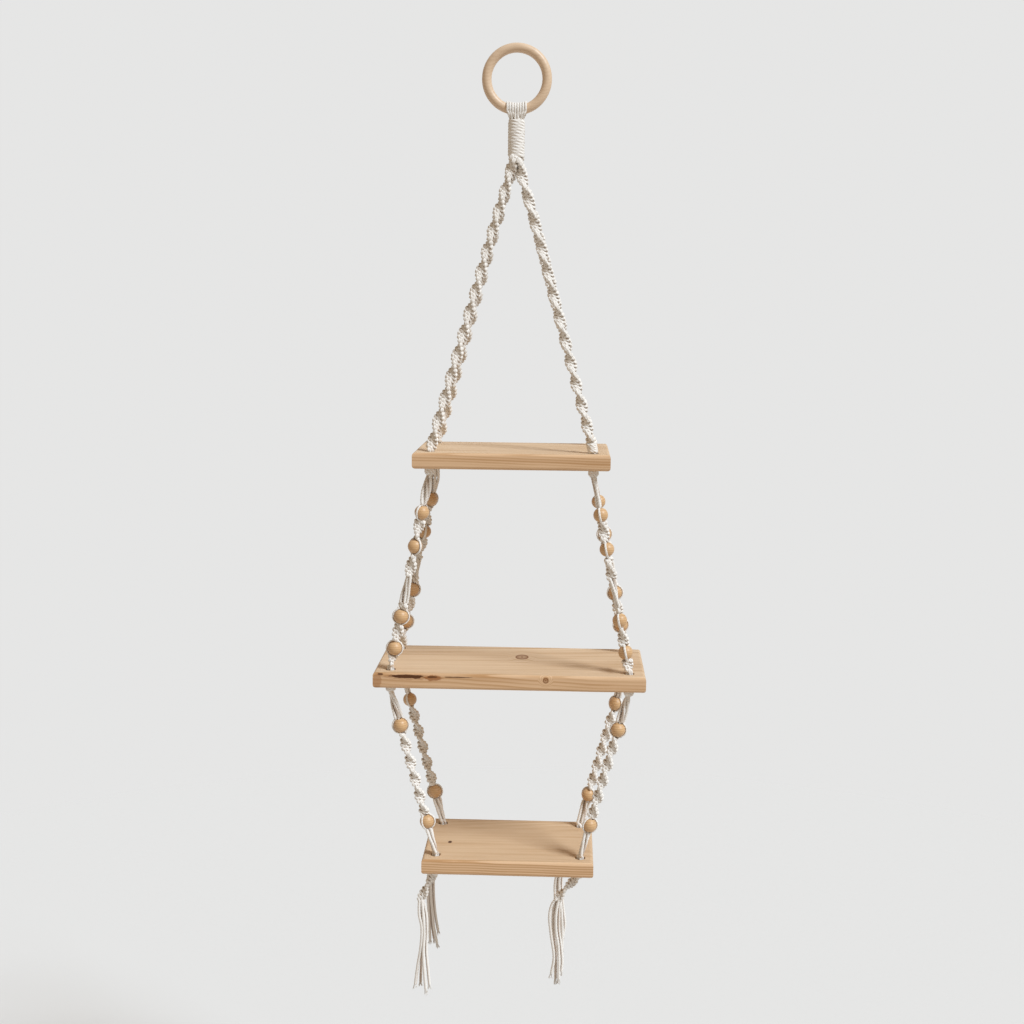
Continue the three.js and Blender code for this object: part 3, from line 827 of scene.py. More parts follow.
def cotton_material():
    """Laid cotton cord: three plies of soft yarn, off-white, with warm painted shade on the cords' inner
    sides and in the valleys between the plies.
    """
    if "cotton_cord" in bpy.data.materials:
        return bpy.data.materials["cotton_cord"]
    colours = bpy.context.scene.shelf_finishes
    material = new_material("cotton_cord")
    n = Nodes(material)
    round_share, lays, _ = n.axes(n.new("ShaderNodeUVMap", uv_map="lay").outputs[0])
    turn = n.times(round_share, full_turn)
    ply = n.maths("COSINE", n.times(n.less(round_share, lays), full_turn * plies))
    yarn_stretch = 1.4
    yarn_place = n.new("ShaderNodeCombineXYZ", {0: n.maths("COSINE", turn), 1: n.maths("SINE", turn),
                                                2: n.times(lays, yarn_stretch)}).outputs[0]
    yarn = n.noise(yarn_place, scale=9.0, detail=3.0, roughness=0.65)
    cloud = n.noise(n.place(), scale=55.0)
    fuzz = n.noise(n.place(), scale=2600.0, roughness=0.7)
    painted_shade = n.new("ShaderNodeAttribute", attribute_name="painted_shade").outputs["Fac"]
    # Painted shade in the valleys between the plies
    painted_valley_shade = n.ramp(ply, start=-0.35, end=-1.0)
    # Painted shade from the cords' inner sides and the ply valleys, with yarn and cloud noise that vary
    # the tone at random
    painted_shade_depth, valley_shade_depth, yarn_dark, cloud_dark = 0.62, 0.12, 0.26, 0.14
    dark = n.plus(n.times(painted_shade, painted_shade_depth), n.times(painted_valley_shade, valley_shade_depth),
                  n.about_zero(yarn, yarn_dark), n.about_zero(cloud, cloud_dark))
    colour = n.mix(n.clamped(dark), shade(colours.cotton), shade(colours.cotton_painted_shade))
    n.finish(Base_Color=colour, Roughness=0.92, Specular_IOR_Level=0.2, Sheen_Weight=0.18,
             Sheen_Roughness=0.55)
    ply_height, yarn_height, fuzz_height = 0.5, 0.9, 0.5
    height = n.plus(n.times(ply, ply_height), n.times(yarn, yarn_height), n.times(fuzz, fuzz_height))
    n.bump(height, strength=0.7, distance=0.4 * mm)
    return material


def grain(n, place, pith, spacing, waver, knots=()):
    """Growth rings round a pith along X: how late the wood is, and three slow patterns with it."""
    low = n.fibres(place, broad_stretch)
    fine = n.fibres(place, fine_stretch)
    x, y, z = n.axes(place)
    y = n.less(y, pith[0])
    z = n.less(z, pith[1])
    radius = n.maths("SQRT", n.plus(n.times(y, y), n.times(z, z)))
    radius = n.plus(radius, n.about_zero(low, waver), n.about_zero(fine, waver * fine_waver_share),
                    n.times(x, waver * tilt_share))
    for knot in knots:
        radius = n.plus(radius, n.times(n.ramp(knot, start=3.2, end=0.6), knot_bow * spacing))
    ring = n.maths("FRACT", n.maths("DIVIDE", radius, spacing))
    late = n.times(n.ramp(ring, start=0.25, end=0.86), n.ramp(ring, start=1.0, end=0.9))
    year_width, year_drift = 5 * mm, 2.5
    years = n.new("ShaderNodeCombineXYZ", {0: n.maths("DIVIDE", radius, year_width),
                                           1: n.times(x, year_drift)}).outputs[0]
    return late, low, fine, n.noise(years, scale=1.0, roughness=0.6)


def wood_finish(n, place, late, fine, colours, contrast, fibre_stretch):
    """Early and late wood with fine fibres, and the bump that goes with them."""
    fibre = n.fibres(place, fibre_stretch, detail=3.0, roughness=0.7)
    streak = n.ramp(n.fibres(place, streak_stretch, detail=1.0), start=0.62, end=0.78)
    share = n.plus(n.times(late, contrast), n.about_zero(fibre, fibre_share),
                   n.times(streak, streak_share), n.about_zero(fine, fine_share))
    height = n.less(n.times(late, late_height), n.times(fibre, fibre_height))
    return n.mix(n.clamped(share), shade(colours[0]), shade(colours[1])), height


def away_from(n, place, middle, reach):
    """How far a place is from the middle of a round of that reach, both in mm: 1 is its surface."""
    away = n.vector("SUBTRACT", place, tuple(value * mm for value in middle))
    return n.vector("LENGTH", n.vector("MULTIPLY", away, tuple(1 / (value * mm) for value in reach)))


def knot_heart(n, away):
    """How much a place belongs to a knot: faint rings in it, a dark rim and a dark dot in its middle."""
    ring_count, ring_depth, rim_depth, dot_depth = 13.0, 0.16, 0.8, 0.5
    rings = n.plus(0.5, n.times(n.maths("SINE", n.times(away, ring_count)), ring_depth))
    heart = n.times(n.ramp(away, start=1.1, end=0.85), rings)
    rim = n.times(n.ramp(away, start=0.7, end=0.95), n.ramp(away, start=1.25, end=1.0))
    dot = n.ramp(away, start=0.30, end=0.12)
    return n.clamped(n.plus(heart, n.times(rim, rim_depth), n.times(dot, dot_depth)))


def pine_material(name, middle, pith, spacing, waver, least, knots, patches):
    """Honey pine: knots and patches have a middle and a reach, in mm from the board's middle."""
    colours = bpy.context.scene.shelf_finishes
    material = new_material(name)
    n = Nodes(material)
    place = n.vector("SUBTRACT", n.place(), tuple(middle))
    distances = [away_from(n, place, *knot) for knot in knots]
    late, _, fine, years = grain(n, place, pith, spacing, waver, distances)
    most, dark_years = 1.1, 0.55
    contrast = n.plus(least, n.times(n.ramp(years, start=0.3, end=0.7), most - least))
    colour, height = wood_finish(n, place, late, fine, (colours.pine, colours.pine_late), contrast,
                                 pine_fibres)
    colour = n.mix(n.times(n.ramp(years, start=0.45, end=0.72), dark_years), colour,
                   shade(colours.pine_late))
    from_middle = n.axes(n.vector("ABSOLUTE", place))[1]
    at_edge = n.ramp(from_middle, start=66 * mm, end=69 * mm)
    colour = n.mix(at_edge, colour, shade(colours.pine_edge), "MULTIPLY")
    for away in distances:
        colour = n.mix(knot_heart(n, away), colour, shade(colours.pine_knot))
    raggedness, bark_depth = 1.5, 4.0
    ragged = n.about_zero(n.fibres(place, ragged_stretch, detail=4.0, roughness=0.7), raggedness)
    for centre, reach, strength, dark in patches:
        away = n.plus(away_from(n, place, centre, reach), ragged)
        share = n.times(n.ramp(away, start=1.12, end=0.86), strength)
        colour = n.mix(share, colour, shade(colours.pine_bark if dark else colours.pine_resin))
        if dark:
            height = n.less(height, n.times(share, bark_depth))
    n.finish(Base_Color=colour, Roughness=0.62, Specular_IOR_Level=0.25)
    n.bump(height, strength=0.35, distance=0.25 * mm)
    return material


def small_wood_material(name, colours, spacing, fibre_stretch, contrast):
    """The plain wood of the ring and of the beads."""
    if name in bpy.data.materials:
        return bpy.data.materials[name]
    material = new_material(name)
    n = Nodes(material)
    place = n.place()
    pith, waver, least_share = (-0.045, 0.02), 9 * mm, 0.4
    late, low, fine, _ = grain(n, place, pith, spacing, waver)
    share = n.plus(contrast * least_share, n.times(low, contrast))
    colour, height = wood_finish(n, place, late, fine, colours, share, fibre_stretch)
    n.finish(Base_Color=colour, Roughness=0.42, Specular_IOR_Level=0.45)
    n.bump(height, strength=0.25, distance=0.15 * mm)
    return material


# The pieces


def hole_places(board):
    """The middles of a board's four holes, by corner, and its top and bottom."""
    sizes = bpy.context.scene.shelf_wood
    low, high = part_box(board)
    inset = sizes.bottom_hole_inset if board == "bottom_shelf" else sizes.hole_inset
    row = abs(joint_place["middle_tier_swing"].y)
    places = {name: (x * (high.x - inset), y * row) for name, (x, y) in corners.items()}
    return places, high.z, low.z


def bundle_slots(x_side, y_side):
    """Where a rope's four strands lie in the neck: the two knotting cords, then the two in the core."""
    slots = []
    for radius, degrees in ((neck_outer_radius, 15), (neck_outer_radius, 75),
                            (neck_outer_radius, 45), (neck_inner_radius, 45)):
        angle = math.radians(degrees)
        slots.append((x_side * radius * math.cos(angle), y_side * radius * math.sin(angle)))
    return slots


class OBJECT_OT_shelf_stage(bpy.types.Operator):
    """Makes the camera, the lamp, the sky and the floor"""

    bl_idname = "object.shelf_stage"
    bl_label = "Stage and Camera"

    # The camera's turns are in degrees: to the left, down and sideways
    camera_place = (0.0618, -1.6532, -0.2871)
    camera_turns = (-2.172, 8.278, -0.555)
    focal_pixels = 1403.7
    sensor_width = 36
    toward_lamp = (0.57, -0.39, 0.725)
    lamp_energy = 3.35
    lamp_spread = 20
    lamp_colour = (0.80, 0.90, 1.0)
    sky_colour = (1.0, 0.80, 0.59)
    sky_strength = 0.38
    floor_level = -1.62
    floor_radius = 3.2
    floor_sides = 96
    # The floor fades into the backdrop between these distances from its middle
    floor_fades = (3.1, 0.9)

    def make_camera(self, context):
        yaw, pitch, roll = (math.radians(angle) for angle in self.camera_turns)
        level = Vector((math.sin(yaw), math.cos(yaw), 0))
        right = Vector((math.cos(yaw), -math.sin(yaw), 0))
        down = Vector((0, 0, -1))
        way = level * math.cos(pitch) + down * math.sin(pitch)
        over = level * math.sin(pitch) - down * math.cos(pitch)
        side = right * math.cos(roll) - over * math.sin(roll)
        top = right * math.sin(roll) + over * math.cos(roll)
        turn = Matrix((side, top, -way)).transposed().to_4x4()
        bpy.ops.object.camera_add()
        camera = context.object
        camera.name = "camera"
        camera.matrix_world = Matrix.Translation(self.camera_place) @ turn
        camera.data.sensor_width = self.sensor_width
        camera.data.lens = self.focal_pixels / picture_side * self.sensor_width
        camera.data.clip_end = 40
        context.scene.camera = camera

    def make_lamp(self, context):
        bpy.ops.object.light_add(type="SUN", location=(2, -2, 3))
        lamp = context.object
        lamp.name = "window_light"
        lamp.rotation_euler = Vector(self.toward_lamp).to_track_quat("Z", "Y").to_euler()
        lamp.data.energy = self.lamp_energy
        lamp.data.angle = math.radians(self.lamp_spread)
        lamp.data.color = self.lamp_colour

    def make_sky(self, context):
        """A dim warm sky, with the studio's even colour where the camera sees it."""
        world = bpy.data.worlds.new("studio")
        context.scene.world = world
        world.use_nodes = True
        tree = world.node_tree
        sky = tree.nodes["Background"]
        sky.inputs["Color"].default_value = shade(self.sky_colour)
        sky.inputs["Strength"].default_value = self.sky_strength
        seen = tree.nodes.new("ShaderNodeBackground")
        seen.inputs["Color"].default_value = shade(context.scene.shelf_finishes.studio)
        seen.inputs["Strength"].default_value = 1
        path = tree.nodes.new("ShaderNodeLightPath")
        shown = path.outputs["Is Camera Ray"]
        for ray in ("Is Glossy Ray", "Is Transmission Ray"):
            largest = tree.nodes.new("ShaderNodeMath")
            largest.operation = "MAXIMUM"
            tree.links.new(shown, largest.inputs[0])
            tree.links.new(path.outputs[ray], largest.inputs[1])
            shown = largest.outputs[0]
        either = tree.nodes.new("ShaderNodeMixShader")
        tree.links.new(shown, either.inputs[0])
        tree.links.new(sky.outputs[0], either.inputs[1])
        tree.links.new(seen.outputs[0], either.inputs[2])
        tree.links.new(either.outputs[0], tree.nodes["World Output"].inputs["Surface"])

    def make_floor(self, context):
        nothing_selected()
        bpy.ops.mesh.primitive_circle_add(
            vertices=self.floor_sides, radius=self.floor_radius, fill_type="NGON",
            location=(0, 0, self.floor_level))
        floor = context.object
        floor.name = "studio_floor"
        place_in_mesh(floor)
        material = new_material("studio_floor")
        n = Nodes(material)
        flat = n.vector("MULTIPLY", n.place(), (1, 1, 0))
        solid = n.ramp(n.vector("LENGTH", flat), *self.floor_fades)
        n.finish(Base_Color=shade(context.scene.shelf_finishes.studio), Roughness=0.9,
                 Specular_IOR_Level=0.1, Alpha=solid)
        floor.data.materials.append(material)

    def execute(self, context):
        self.make_camera(context)
        self.make_lamp(context)
        self.make_sky(context)
        self.make_floor(context)
        context.scene.view_settings.view_transform = "Standard"
        return {"FINISHED"}


class OBJECT_OT_shelf_tails(bpy.types.Operator):
    """Makes the sixteen loose strands below the bottom board"""

    bl_idname = "object.shelf_tails"
    bl_label = "Loose Strands"

    yarns = 7
    yarn_diameter = 0.8 * mm
    yarn_sampling = 0.3 * mm
    yarn_spacing = 1.0 * mm
    # The least and the most, in mm, that a yarn stands out past the cut, and that it spreads
    yarn_lengths = (3.5, 7)
    yarn_spreads = (0.2, 1.5)
    uneven_turn = 0.3
    # Painted shade, mixed evenly into all of a loose strand's skin
    strand_shade = 0.06
    path_points = 24

    def frayed_end(self, name, line, radius, lay, seed):
        """The yarns that the cut end of a strand opens into, which start inside it."""
        rng = np.random.default_rng(seed)
        end = line[-1]
        way = unit(line[-1] - line[-12])
        courses = []
        for i in range(self.yarns):
            angle = full_turn * (i + rng.uniform(-self.uneven_turn, self.uneven_turn)) / self.yarns
            out = np.array((math.cos(angle), math.sin(angle), 0.0))
            length = rng.uniform(*self.yarn_lengths) * mm
            spread = rng.uniform(*self.yarn_spreads) * mm
            places = [end - way * 3 * mm + out * radius * 0.5,
                      end + out * radius * 0.62,
                      end + way * length * 0.5 + out * (radius * 0.7 + spread * 0.4),
                      end + way * length + out * (radius * 0.7 + spread)]
            course = plain_course(smooth_line(places, self.yarn_sampling), self.yarn_diameter, end)
            course["spacing"] = self.yarn_spacing
            courses.append(course)
        piece = cords_piece(name, courses, lay, seed)
        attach(piece, "bottom_tier")
        return piece

    def execute(self, context):
        sizes = context.scene.shelf_cord
        holes, _, underside = hole_places("bottom_shelf")
        for index, (corner, routes) in enumerate(tail_routes.items()):
            lean_x, lean_z = last_knot_places[corner]
            knot = np.array((holes[corner][0] + lean_x * mm, holes[corner][1], underside + lean_z * mm))
            for number, route in enumerate(routes):
                line = smooth_line(knot + np.array(route, float) * mm)
                middle = line * (0, 0, 1) + knot * (1, 1, 0)
                course = plain_course(line, sizes.tail_diameter, middle, painted_shade_share=self.strand_shade)
                seed = 400 + 10 * index + number
                frayed = self.frayed_end(f"frayed_end_{corner}_{number + 1}", line,
                                         sizes.tail_diameter / 2, sizes.lay, seed + 50)
                piece = cords_piece(f"loose_strand_{corner}_{number + 1}", [course], sizes.lay, seed)
                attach(piece, "bottom_tier")
                if number == 0:
                    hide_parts(f"tail_{corner}")
        return {"FINISHED"}


class OBJECT_OT_shelf_ring(bpy.types.Operator):
    """Makes the wooden ring"""

    bl_idname = "object.shelf_ring"
    bl_label = "Hanging Ring"

    steps_round = 120
    steps_across = 36
    # Turned wood is a little uneven: the depth, the count round the ring and the start of each wave
    uneven_waves = ((0.10 * mm, 3, 0.7), (0.07 * mm, 7, 2))
    grain_spacing = 3 * mm
    grain_contrast = 0.2

    def execute(self, context):
        low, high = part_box("hanging_ring")
        centre = (low + high) / 2
        section = (high.y - low.y) / 2
        nothing_selected()
        bpy.ops.mesh.primitive_torus_add(
            major_radius=(high.x - low.x) / 2 - section, minor_radius=section,
            major_segments=self.steps_round, minor_segments=self.steps_across, location=centre,
            rotation=(math.pi / 2, 0, 0),
        )
        ring = context.object
        ring.name = "wooden_ring"
        place_in_mesh(ring)
        for vertex in ring.data.vertices:
            out = vertex.co - centre
            angle = math.atan2(out.z, out.x)
            ease = sum(depth * math.sin(count * angle + start)
                       for depth, count, start in self.uneven_waves)
            vertex.co.y *= 1 - ease / section
            vertex.co -= Vector((out.x, 0, out.z)).normalized() * abs(ease) / 2
        smoothed(ring, math.pi)
        colours = context.scene.shelf_finishes
        ring.data.materials.append(small_wood_material(
            "pale_ring_wood", (colours.beech, colours.beech_late), self.grain_spacing, ring_fibres,
            self.grain_contrast))
        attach(ring, "ring")
        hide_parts("hanging_ring")
        return {"FINISHED"}


class OBJECT_OT_shelf_loops(bpy.types.Operator):
    """Makes the eight cords over the ring and the bundle that they become"""

    bl_idname = "object.shelf_loops"
    bl_label = "Cord Loops"

    pitch = 2.95 * mm
    gap = 0.25 * mm
    width_share = 1.07
    # The way that each loop's side with painted shade faces
    painted_shade_way = (0.55, 0, 1)
    # Where each loop's strands lie in the neck: from its middle, and degrees round from the right
    slots = (
        (neck_outer_radius, 165),
        (neck_outer_radius, 135),
        (neck_inner_radius, 135),
        (neck_outer_radius, 105),
        (neck_outer_radius, 75),
        (neck_inner_radius, 45),
        (neck_outer_radius, 45),
        (neck_outer_radius, 15),
    )

    def execute(self, context):
        sizes = context.scene.shelf_cord
        low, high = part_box("hanging_ring")
        section = (high.y - low.y) / 2
        centre_z = (low.z + high.z) / 2
        ring_radius = (high.x - low.x) / 2 - section
        wrap_low, wrap_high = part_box("gathering_wrap")
        top = wrap_high.z
        reach = section + sizes.diameter / 2 + self.gap
        courses = []
        for i, (radius, degrees) in enumerate(self.slots):
            x = (i - (len(self.slots) - 1) / 2) * self.pitch
            over = centre_z - math.sqrt(ring_radius ** 2 - x ** 2)
            angle = math.radians(degrees)
            slot_x, slot_y = radius * math.cos(angle), radius * math.sin(angle)
            half = [
                (slot_x, slot_y, wrap_low.z + neck_overlap),
                (slot_x, slot_y, top - 14 * mm),
                (slot_x * 1.1, slot_y * 1.1, top - 5 * mm),
                ((x + 3 * slot_x) / 3.5, (reach + 3 * slot_y) / 3.5, top + 0.2 * mm),
                ((2 * x + slot_x) / 3, reach * 0.9, top + 3.4 * mm),
                (x, reach * math.cos(0.35), over - reach * math.sin(0.35)),
                (x, reach, over),
                (x, reach * math.cos(0.55), over + reach * math.sin(0.55)),
                (x, reach * math.cos(1.1), over + reach * math.sin(1.1)),
            ]
            other = [(px, -py, pz) for px, py, pz in reversed(half)]
            line = smooth_line([*half, (x, 0, over + reach), *other])
            courses.append(plain_course(line, sizes.diameter * self.width_share, line * self.painted_shade_way))
        piece = cords_piece("ring_loops", courses, sizes.lay, 11)
        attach(piece, "neck")
        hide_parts("cord_loops")
        return {"FINISHED"}


class OBJECT_OT_shelf_wrap(bpy.types.Operator):
    """Makes the cord wound round the neck"""

    bl_idname = "object.shelf_wrap"
    bl_label = "Gathering Wrap"

    flat = 0.55
    steps_round = 48
    spacing = 1 * mm
    lay_share = 2.5
    # Each end runs on for this many turns and goes inwards by so much in a whole one
    end_turns = 0.35
    end_tuck = 9 * mm
    # The first turns lie this much lower, under the loops
    first_tuck = 0.9 * mm
    first_turns = 1.2
    # Unevenness in and out, and up and down: the turns in a wave, and its reach
    reach_stray = (3.1, 0.10 * mm)
    height_stray = (2.3, 0.08 * mm)

    def execute(self, context):
        sizes = context.scene.shelf_cord
        low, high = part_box("gathering_wrap")
        cord, turns = sizes.wrap_diameter, sizes.wrap_turns
        radius = (high.x - low.x) / 2 - cord * self.flat / 2
        top, bottom = high.z - cord / 2, low.z + cord / 2
        turn = np.arange(-self.end_turns, turns + self.end_turns, 1 / self.steps_round)
        rng = np.random.default_rng(5)
        share = np.clip(turn / turns, 0, 1)
        tuck = np.clip(np.maximum(-turn, turn - turns), 0, 1) * self.end_tuck
        tuck += self.first_tuck * (1 - smooth_step(turn, 0, self.first_turns))
        reach = radius - tuck + wander(rng, turn, *self.reach_stray)
        height = top + (bottom - top) * share + wander(rng, turn, *self.height_stray)
        angle = turn * full_turn
        line = np.stack([reach * np.cos(angle), reach * np.sin(angle), height], 1)
        course = plain_course(line, cord, line * (0, 0, 1), self.flat)
        course["spacing"] = self.spacing
        piece = cords_piece("neck_wrap", [course], sizes.lay * self.lay_share, 12)
        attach(piece, "neck")
        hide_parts("gathering_wrap")
        return {"FINISHED"}


class OBJECT_OT_shelf_upper_ropes(bpy.types.Operator):
    """Makes the four ropes from the neck to the top board, with the knots that carry it"""

    bl_idname = "object.shelf_upper_ropes"
    bl_label = "Upper Ropes"

    # How far sideways a rope's middle is from the neck's, at its start and where it leaves the crown
    start_offset = 2.9 * mm
    crown_offset = 3.6 * mm
    # The crown's first knots are wider, and end this far along the rope
    crown_end = 24 * mm
    crown_sizes = (1.4, 1.0)
    above_board = 1 * mm
    # The front right rope ends in a plain knot above the board
    last_knot_length = 10 * mm
    last_knot_turns = 2.2
    first_azimuth = 0.4
    # Between these heights the ropes go over from the neck to the top tier
    sway_start = (0, 0, -0.112)
    sway_end = (0, 0, -0.127)

    def route(self, x_side, y_side, hole, board_bottom):
        """The line of a rope, from inside the wrap to below the top board."""
        wrap_low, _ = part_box("gathering_wrap")
        sides = np.array((x_side, y_side, 0))
        start = sides * self.start_offset + (0, 0, wrap_low.z + neck_overlap)
        crown = sides * self.crown_offset + (0, 0, joint_place["side_sway"].z)
        way = unit(hole - crown)
        inward = np.array((-x_side, 0, 0)) * mm
        places = [start, start + (0, 0, -6 * mm), crown + way * 5 * mm + inward * 0.3,
                  crown + way * 18 * mm + inward * 1.6, crown + way * 40 * mm + inward * 0.8]
        places += [crown + way * share * np.linalg.norm(hole - crown) for share in (0.25, 0.5, 0.75)]
        places += [hole - way * 9 * mm, hole + (0, 0, -4 * mm),
                   (*hole[:2], board_bottom - stopper_start)]
        return smooth_line(places, 1 * mm)

    def execute(self, context):
        sizes = context.scene.shelf_cord
        holes, board_top, board_bottom = hole_places("top_shelf")
        for index, (corner, (x_side, y_side)) in enumerate(corners.items()):
            hole = np.array((*holes[corner], board_top))
            line = self.route(x_side, y_side, hole, board_bottom)
            total = run_of(line)[-1]
            foot = total - stopper_start - (board_top - board_bottom) - self.above_board
            last = [sinnet_span(self.crown_end, foot, sizes)]
            if corner == "front_right":
                knot = foot - self.last_knot_length
                last = [sinnet_span(self.crown_end, knot, sizes),
                        knot_span(knot, foot, stopper_radius, self.last_knot_turns)]
            spans = [
                {"kind": "bundle", "from": 0, "to": neck_overlap},
                sinnet_span(neck_overlap, self.crown_end, sizes, self.crown_sizes),
                *last,
                gathered_span(foot, total - stopper_start),
                *stopper_spans(total),
            ]
            turning = np.array(sinnet_turnings["upper"][corner]) * mm
            courses = rope_courses(line, spans, turning, self.first_azimuth, sizes, 20 + index,
                                   bundle_slots(x_side, y_side))
            piece = cords_piece(f"rope_above_top_{corner}", courses, sizes.lay, 30 + index)
            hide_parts(f"upper_rope_{corner}")
            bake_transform(piece)
        return {"FINISHED"}


# The strands are packed closer where a rope goes down into the board below it
foot_size = 0.9


def rope_body(tier, y_side):
    """The body that the beads of a beaded rope swing with."""
    return f"{tier}_{'front' if y_side < 0 else 'back'}_ropes"


def tier_ends(tier, corner):
    """Where a rope between two boards starts, at the knot it hangs from, and where it ends."""
    above, below, swing, level = tiers[tier]
    upper = np.array((*hole_places(above)[0][corner], joint_place[swing].z))
    lower = np.array((*hole_places(below)[0][corner], joint_place[level].z))
    return upper, lower


def first_spans(beads, sizes):
    """The top of a beaded rope: loose strands, a bead, a sinnet and a second bead."""
    gathered_end = 4 * mm
    return [
        gathered_span(0, gathered_end),
        strands_span(gathered_end, beads[0]["from"]),
        beads[0],
        sinnet_span(beads[0]["to"], beads[1]["from"], sizes),
        beads[1],
    ]


def middle_spans(beads, foot, end, sizes):
    loose = beads[1]["to"] + 25 * mm
    short = beads[2]["from"] - 7 * mm
    gathered = foot - 2 * mm
    return [
        *first_spans(beads, sizes),
        sinnet_span(beads[1]["to"], loose, sizes),
        strands_span(loose, short),
        sinnet_span(short, beads[2]["from"], sizes),
        beads[2],
        sinnet_span(beads[2]["to"], beads[3]["from"], sizes),
        beads[3],
        sinnet_span(beads[3]["to"], gathered, sizes),
        gathered_span(gathered, end, foot_size),
    ]


def lower_spans(beads, foot, end, sizes):
    gathered = foot - 1.5 * mm
    return [
        *first_spans(beads, sizes),
        strands_span(beads[1]["to"], gathered),
        gathered_span(gathered, end, foot_size),
    ]


def make_tier_ropes(tier, spans_of, seed, context):
    """The four ropes of one tier, which bend at the knots that they hang from."""
    sizes, wood = context.scene.shelf_cord, context.scene.shelf_wood
    in_knot, in_hole = 3 * mm, 5 * mm
    first_azimuth = math.radians(250)
    for index, (corner, (_, y_side)) in enumerate(corners.items()):
        upper, lower = tier_ends(tier, corner)
        way = unit(lower - upper)
        beads = []
        for number, turn in enumerate(bead_turns[tier][corner]):
            low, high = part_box(f"{tier}_bead_{corner}_{number + 1}")
            middle = float((np.array((low + high) / 2) - upper) @ way) + in_knot
            beads.append(bead_span(middle, turn, wood.bead_diameter / 2))
        line = np.vstack([straight(upper - way * in_knot, lower),
                          straight(lower, lower + (0, 0, -in_hole))[1:]])
        foot = in_knot + float(np.linalg.norm(lower - upper))
        spans = spans_of(beads, foot, run_of(line)[-1], sizes)
        turning = np.array(sinnet_turnings[tier][corner]) * mm
        courses = rope_courses(line, spans, turning, first_azimuth, sizes, seed + 10 * index)
        piece = cords_piece(f"rope_{tier}_{corner}", courses, sizes.lay, seed + 10 * index + 1)
        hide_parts(f"{tier}_rope_{corner}")
        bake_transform(piece)


class OBJECT_OT_shelf_middle_ropes(bpy.types.Operator):
    """Makes the four beaded ropes between the top and the middle board"""

    bl_idname = "object.shelf_middle_ropes"
    bl_label = "Middle Ropes"

    def execute(self, context):
        make_tier_ropes("middle", middle_spans, 100, context)
        return {"FINISHED"}


class OBJECT_OT_shelf_lower_ropes(bpy.types.Operator):
    """Makes the four beaded ropes between the middle and the bottom board"""

    bl_idname = "object.shelf_lower_ropes"
    bl_label = "Lower Ropes"

    def execute(self, context):
        make_tier_ropes("lower", lower_spans, 200, context)
        return {"FINISHED"}


class OBJECT_OT_shelf_middle_knots(bpy.types.Operator):
    """Makes the rope ends through the middle board and the knots that carry it"""

    bl_idname = "object.shelf_middle_knots"
    bl_label = "Middle Knots"

    below_top = 3 * mm
    below_board = 8.5 * mm
    # The four knots differ by a turn
    sinnet_shift = 5 * mm
    azimuth_shift = 1.1

    def execute(self, context):
        sizes = context.scene.shelf_cord
        holes, top, bottom = hole_places("middle_shelf")
        half_turn = sizes.sinnet_half_turn
        for index, corner in enumerate(corners):
            start = (*holes[corner], top - self.below_top)
            line = straight(start, (*holes[corner], bottom - self.below_board))
            total = run_of(line)[-1]
            spans = [gathered_span(0, total - stopper_start), *stopper_spans(total)]
            turning = (index * self.sinnet_shift, half_turn, half_turn)
            courses = rope_courses(line, spans, turning, self.azimuth_shift * index, sizes, 300 + index)
            piece = cords_piece(f"knot_under_middle_{corner}", courses, sizes.lay, 310 + index)
            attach(piece, "middle_tier")
            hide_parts(f"middle_knot_{corner}")
        return {"FINISHED"}


class OBJECT_OT_shelf_ends(bpy.types.Operator):
    """Makes the short sinnets and the last knots below the bottom board"""

    bl_idname = "object.shelf_ends"
    bl_label = "End Sinnets"

    # The knot under the board, the slimmer sinnet below it, and the strands gathered at its end
    knot_length = 4.5 * mm
    knot_radius = 4.5 * mm
    knot_turns = 1.4
    sinnet_size = 0.85
    gathered_length = 3 * mm
    gathered_size = 0.8
    past_last_knot = 4.5 * mm
    sinnet_shift = 6 * mm
    first_azimuth = 0.3

    def execute(self, context):
        sizes = context.scene.shelf_cord
        holes, top, bottom = hole_places("bottom_shelf")
        half_turn = sizes.sinnet_half_turn
        for index, corner in enumerate(corners):
            lean_x, lean_z = (value * mm for value in last_knot_places[corner])
            x, y = holes[corner]
            knot = np.array((x + lean_x, y, bottom + lean_z))
            under = np.array((x, y, bottom))
            way = unit(knot - under)
            places = [(x, y, top - 3 * mm), (x, y, top - 11 * mm), (x, y, bottom + 2 * mm),
                      under + way * 8 * mm, under + way * 20 * mm, knot,
                      knot + way * self.past_last_knot]
            line = smooth_line(places)
            total = run_of(line)[-1]
            board = total - self.past_last_knot - float(np.linalg.norm(knot - under))
            knotted, gathered = board + self.knot_length, total - self.gathered_length
            spans = [
                gathered_span(0, board),
                knot_span(board, knotted, self.knot_radius, self.knot_turns),
                sinnet_span(knotted, gathered, sizes, self.sinnet_size),
                gathered_span(gathered, total, self.gathered_size),
            ]
            turning = (index * self.sinnet_shift, half_turn, half_turn)
            courses = rope_courses(line, spans, turning, self.first_azimuth, sizes, 330 + index)
            piece = cords_piece(f"rope_end_{corner}", courses, sizes.lay, 340 + index)
            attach(piece, "bottom_tier")
            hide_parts(f"end_sinnet_{corner}")
        return {"FINISHED"}


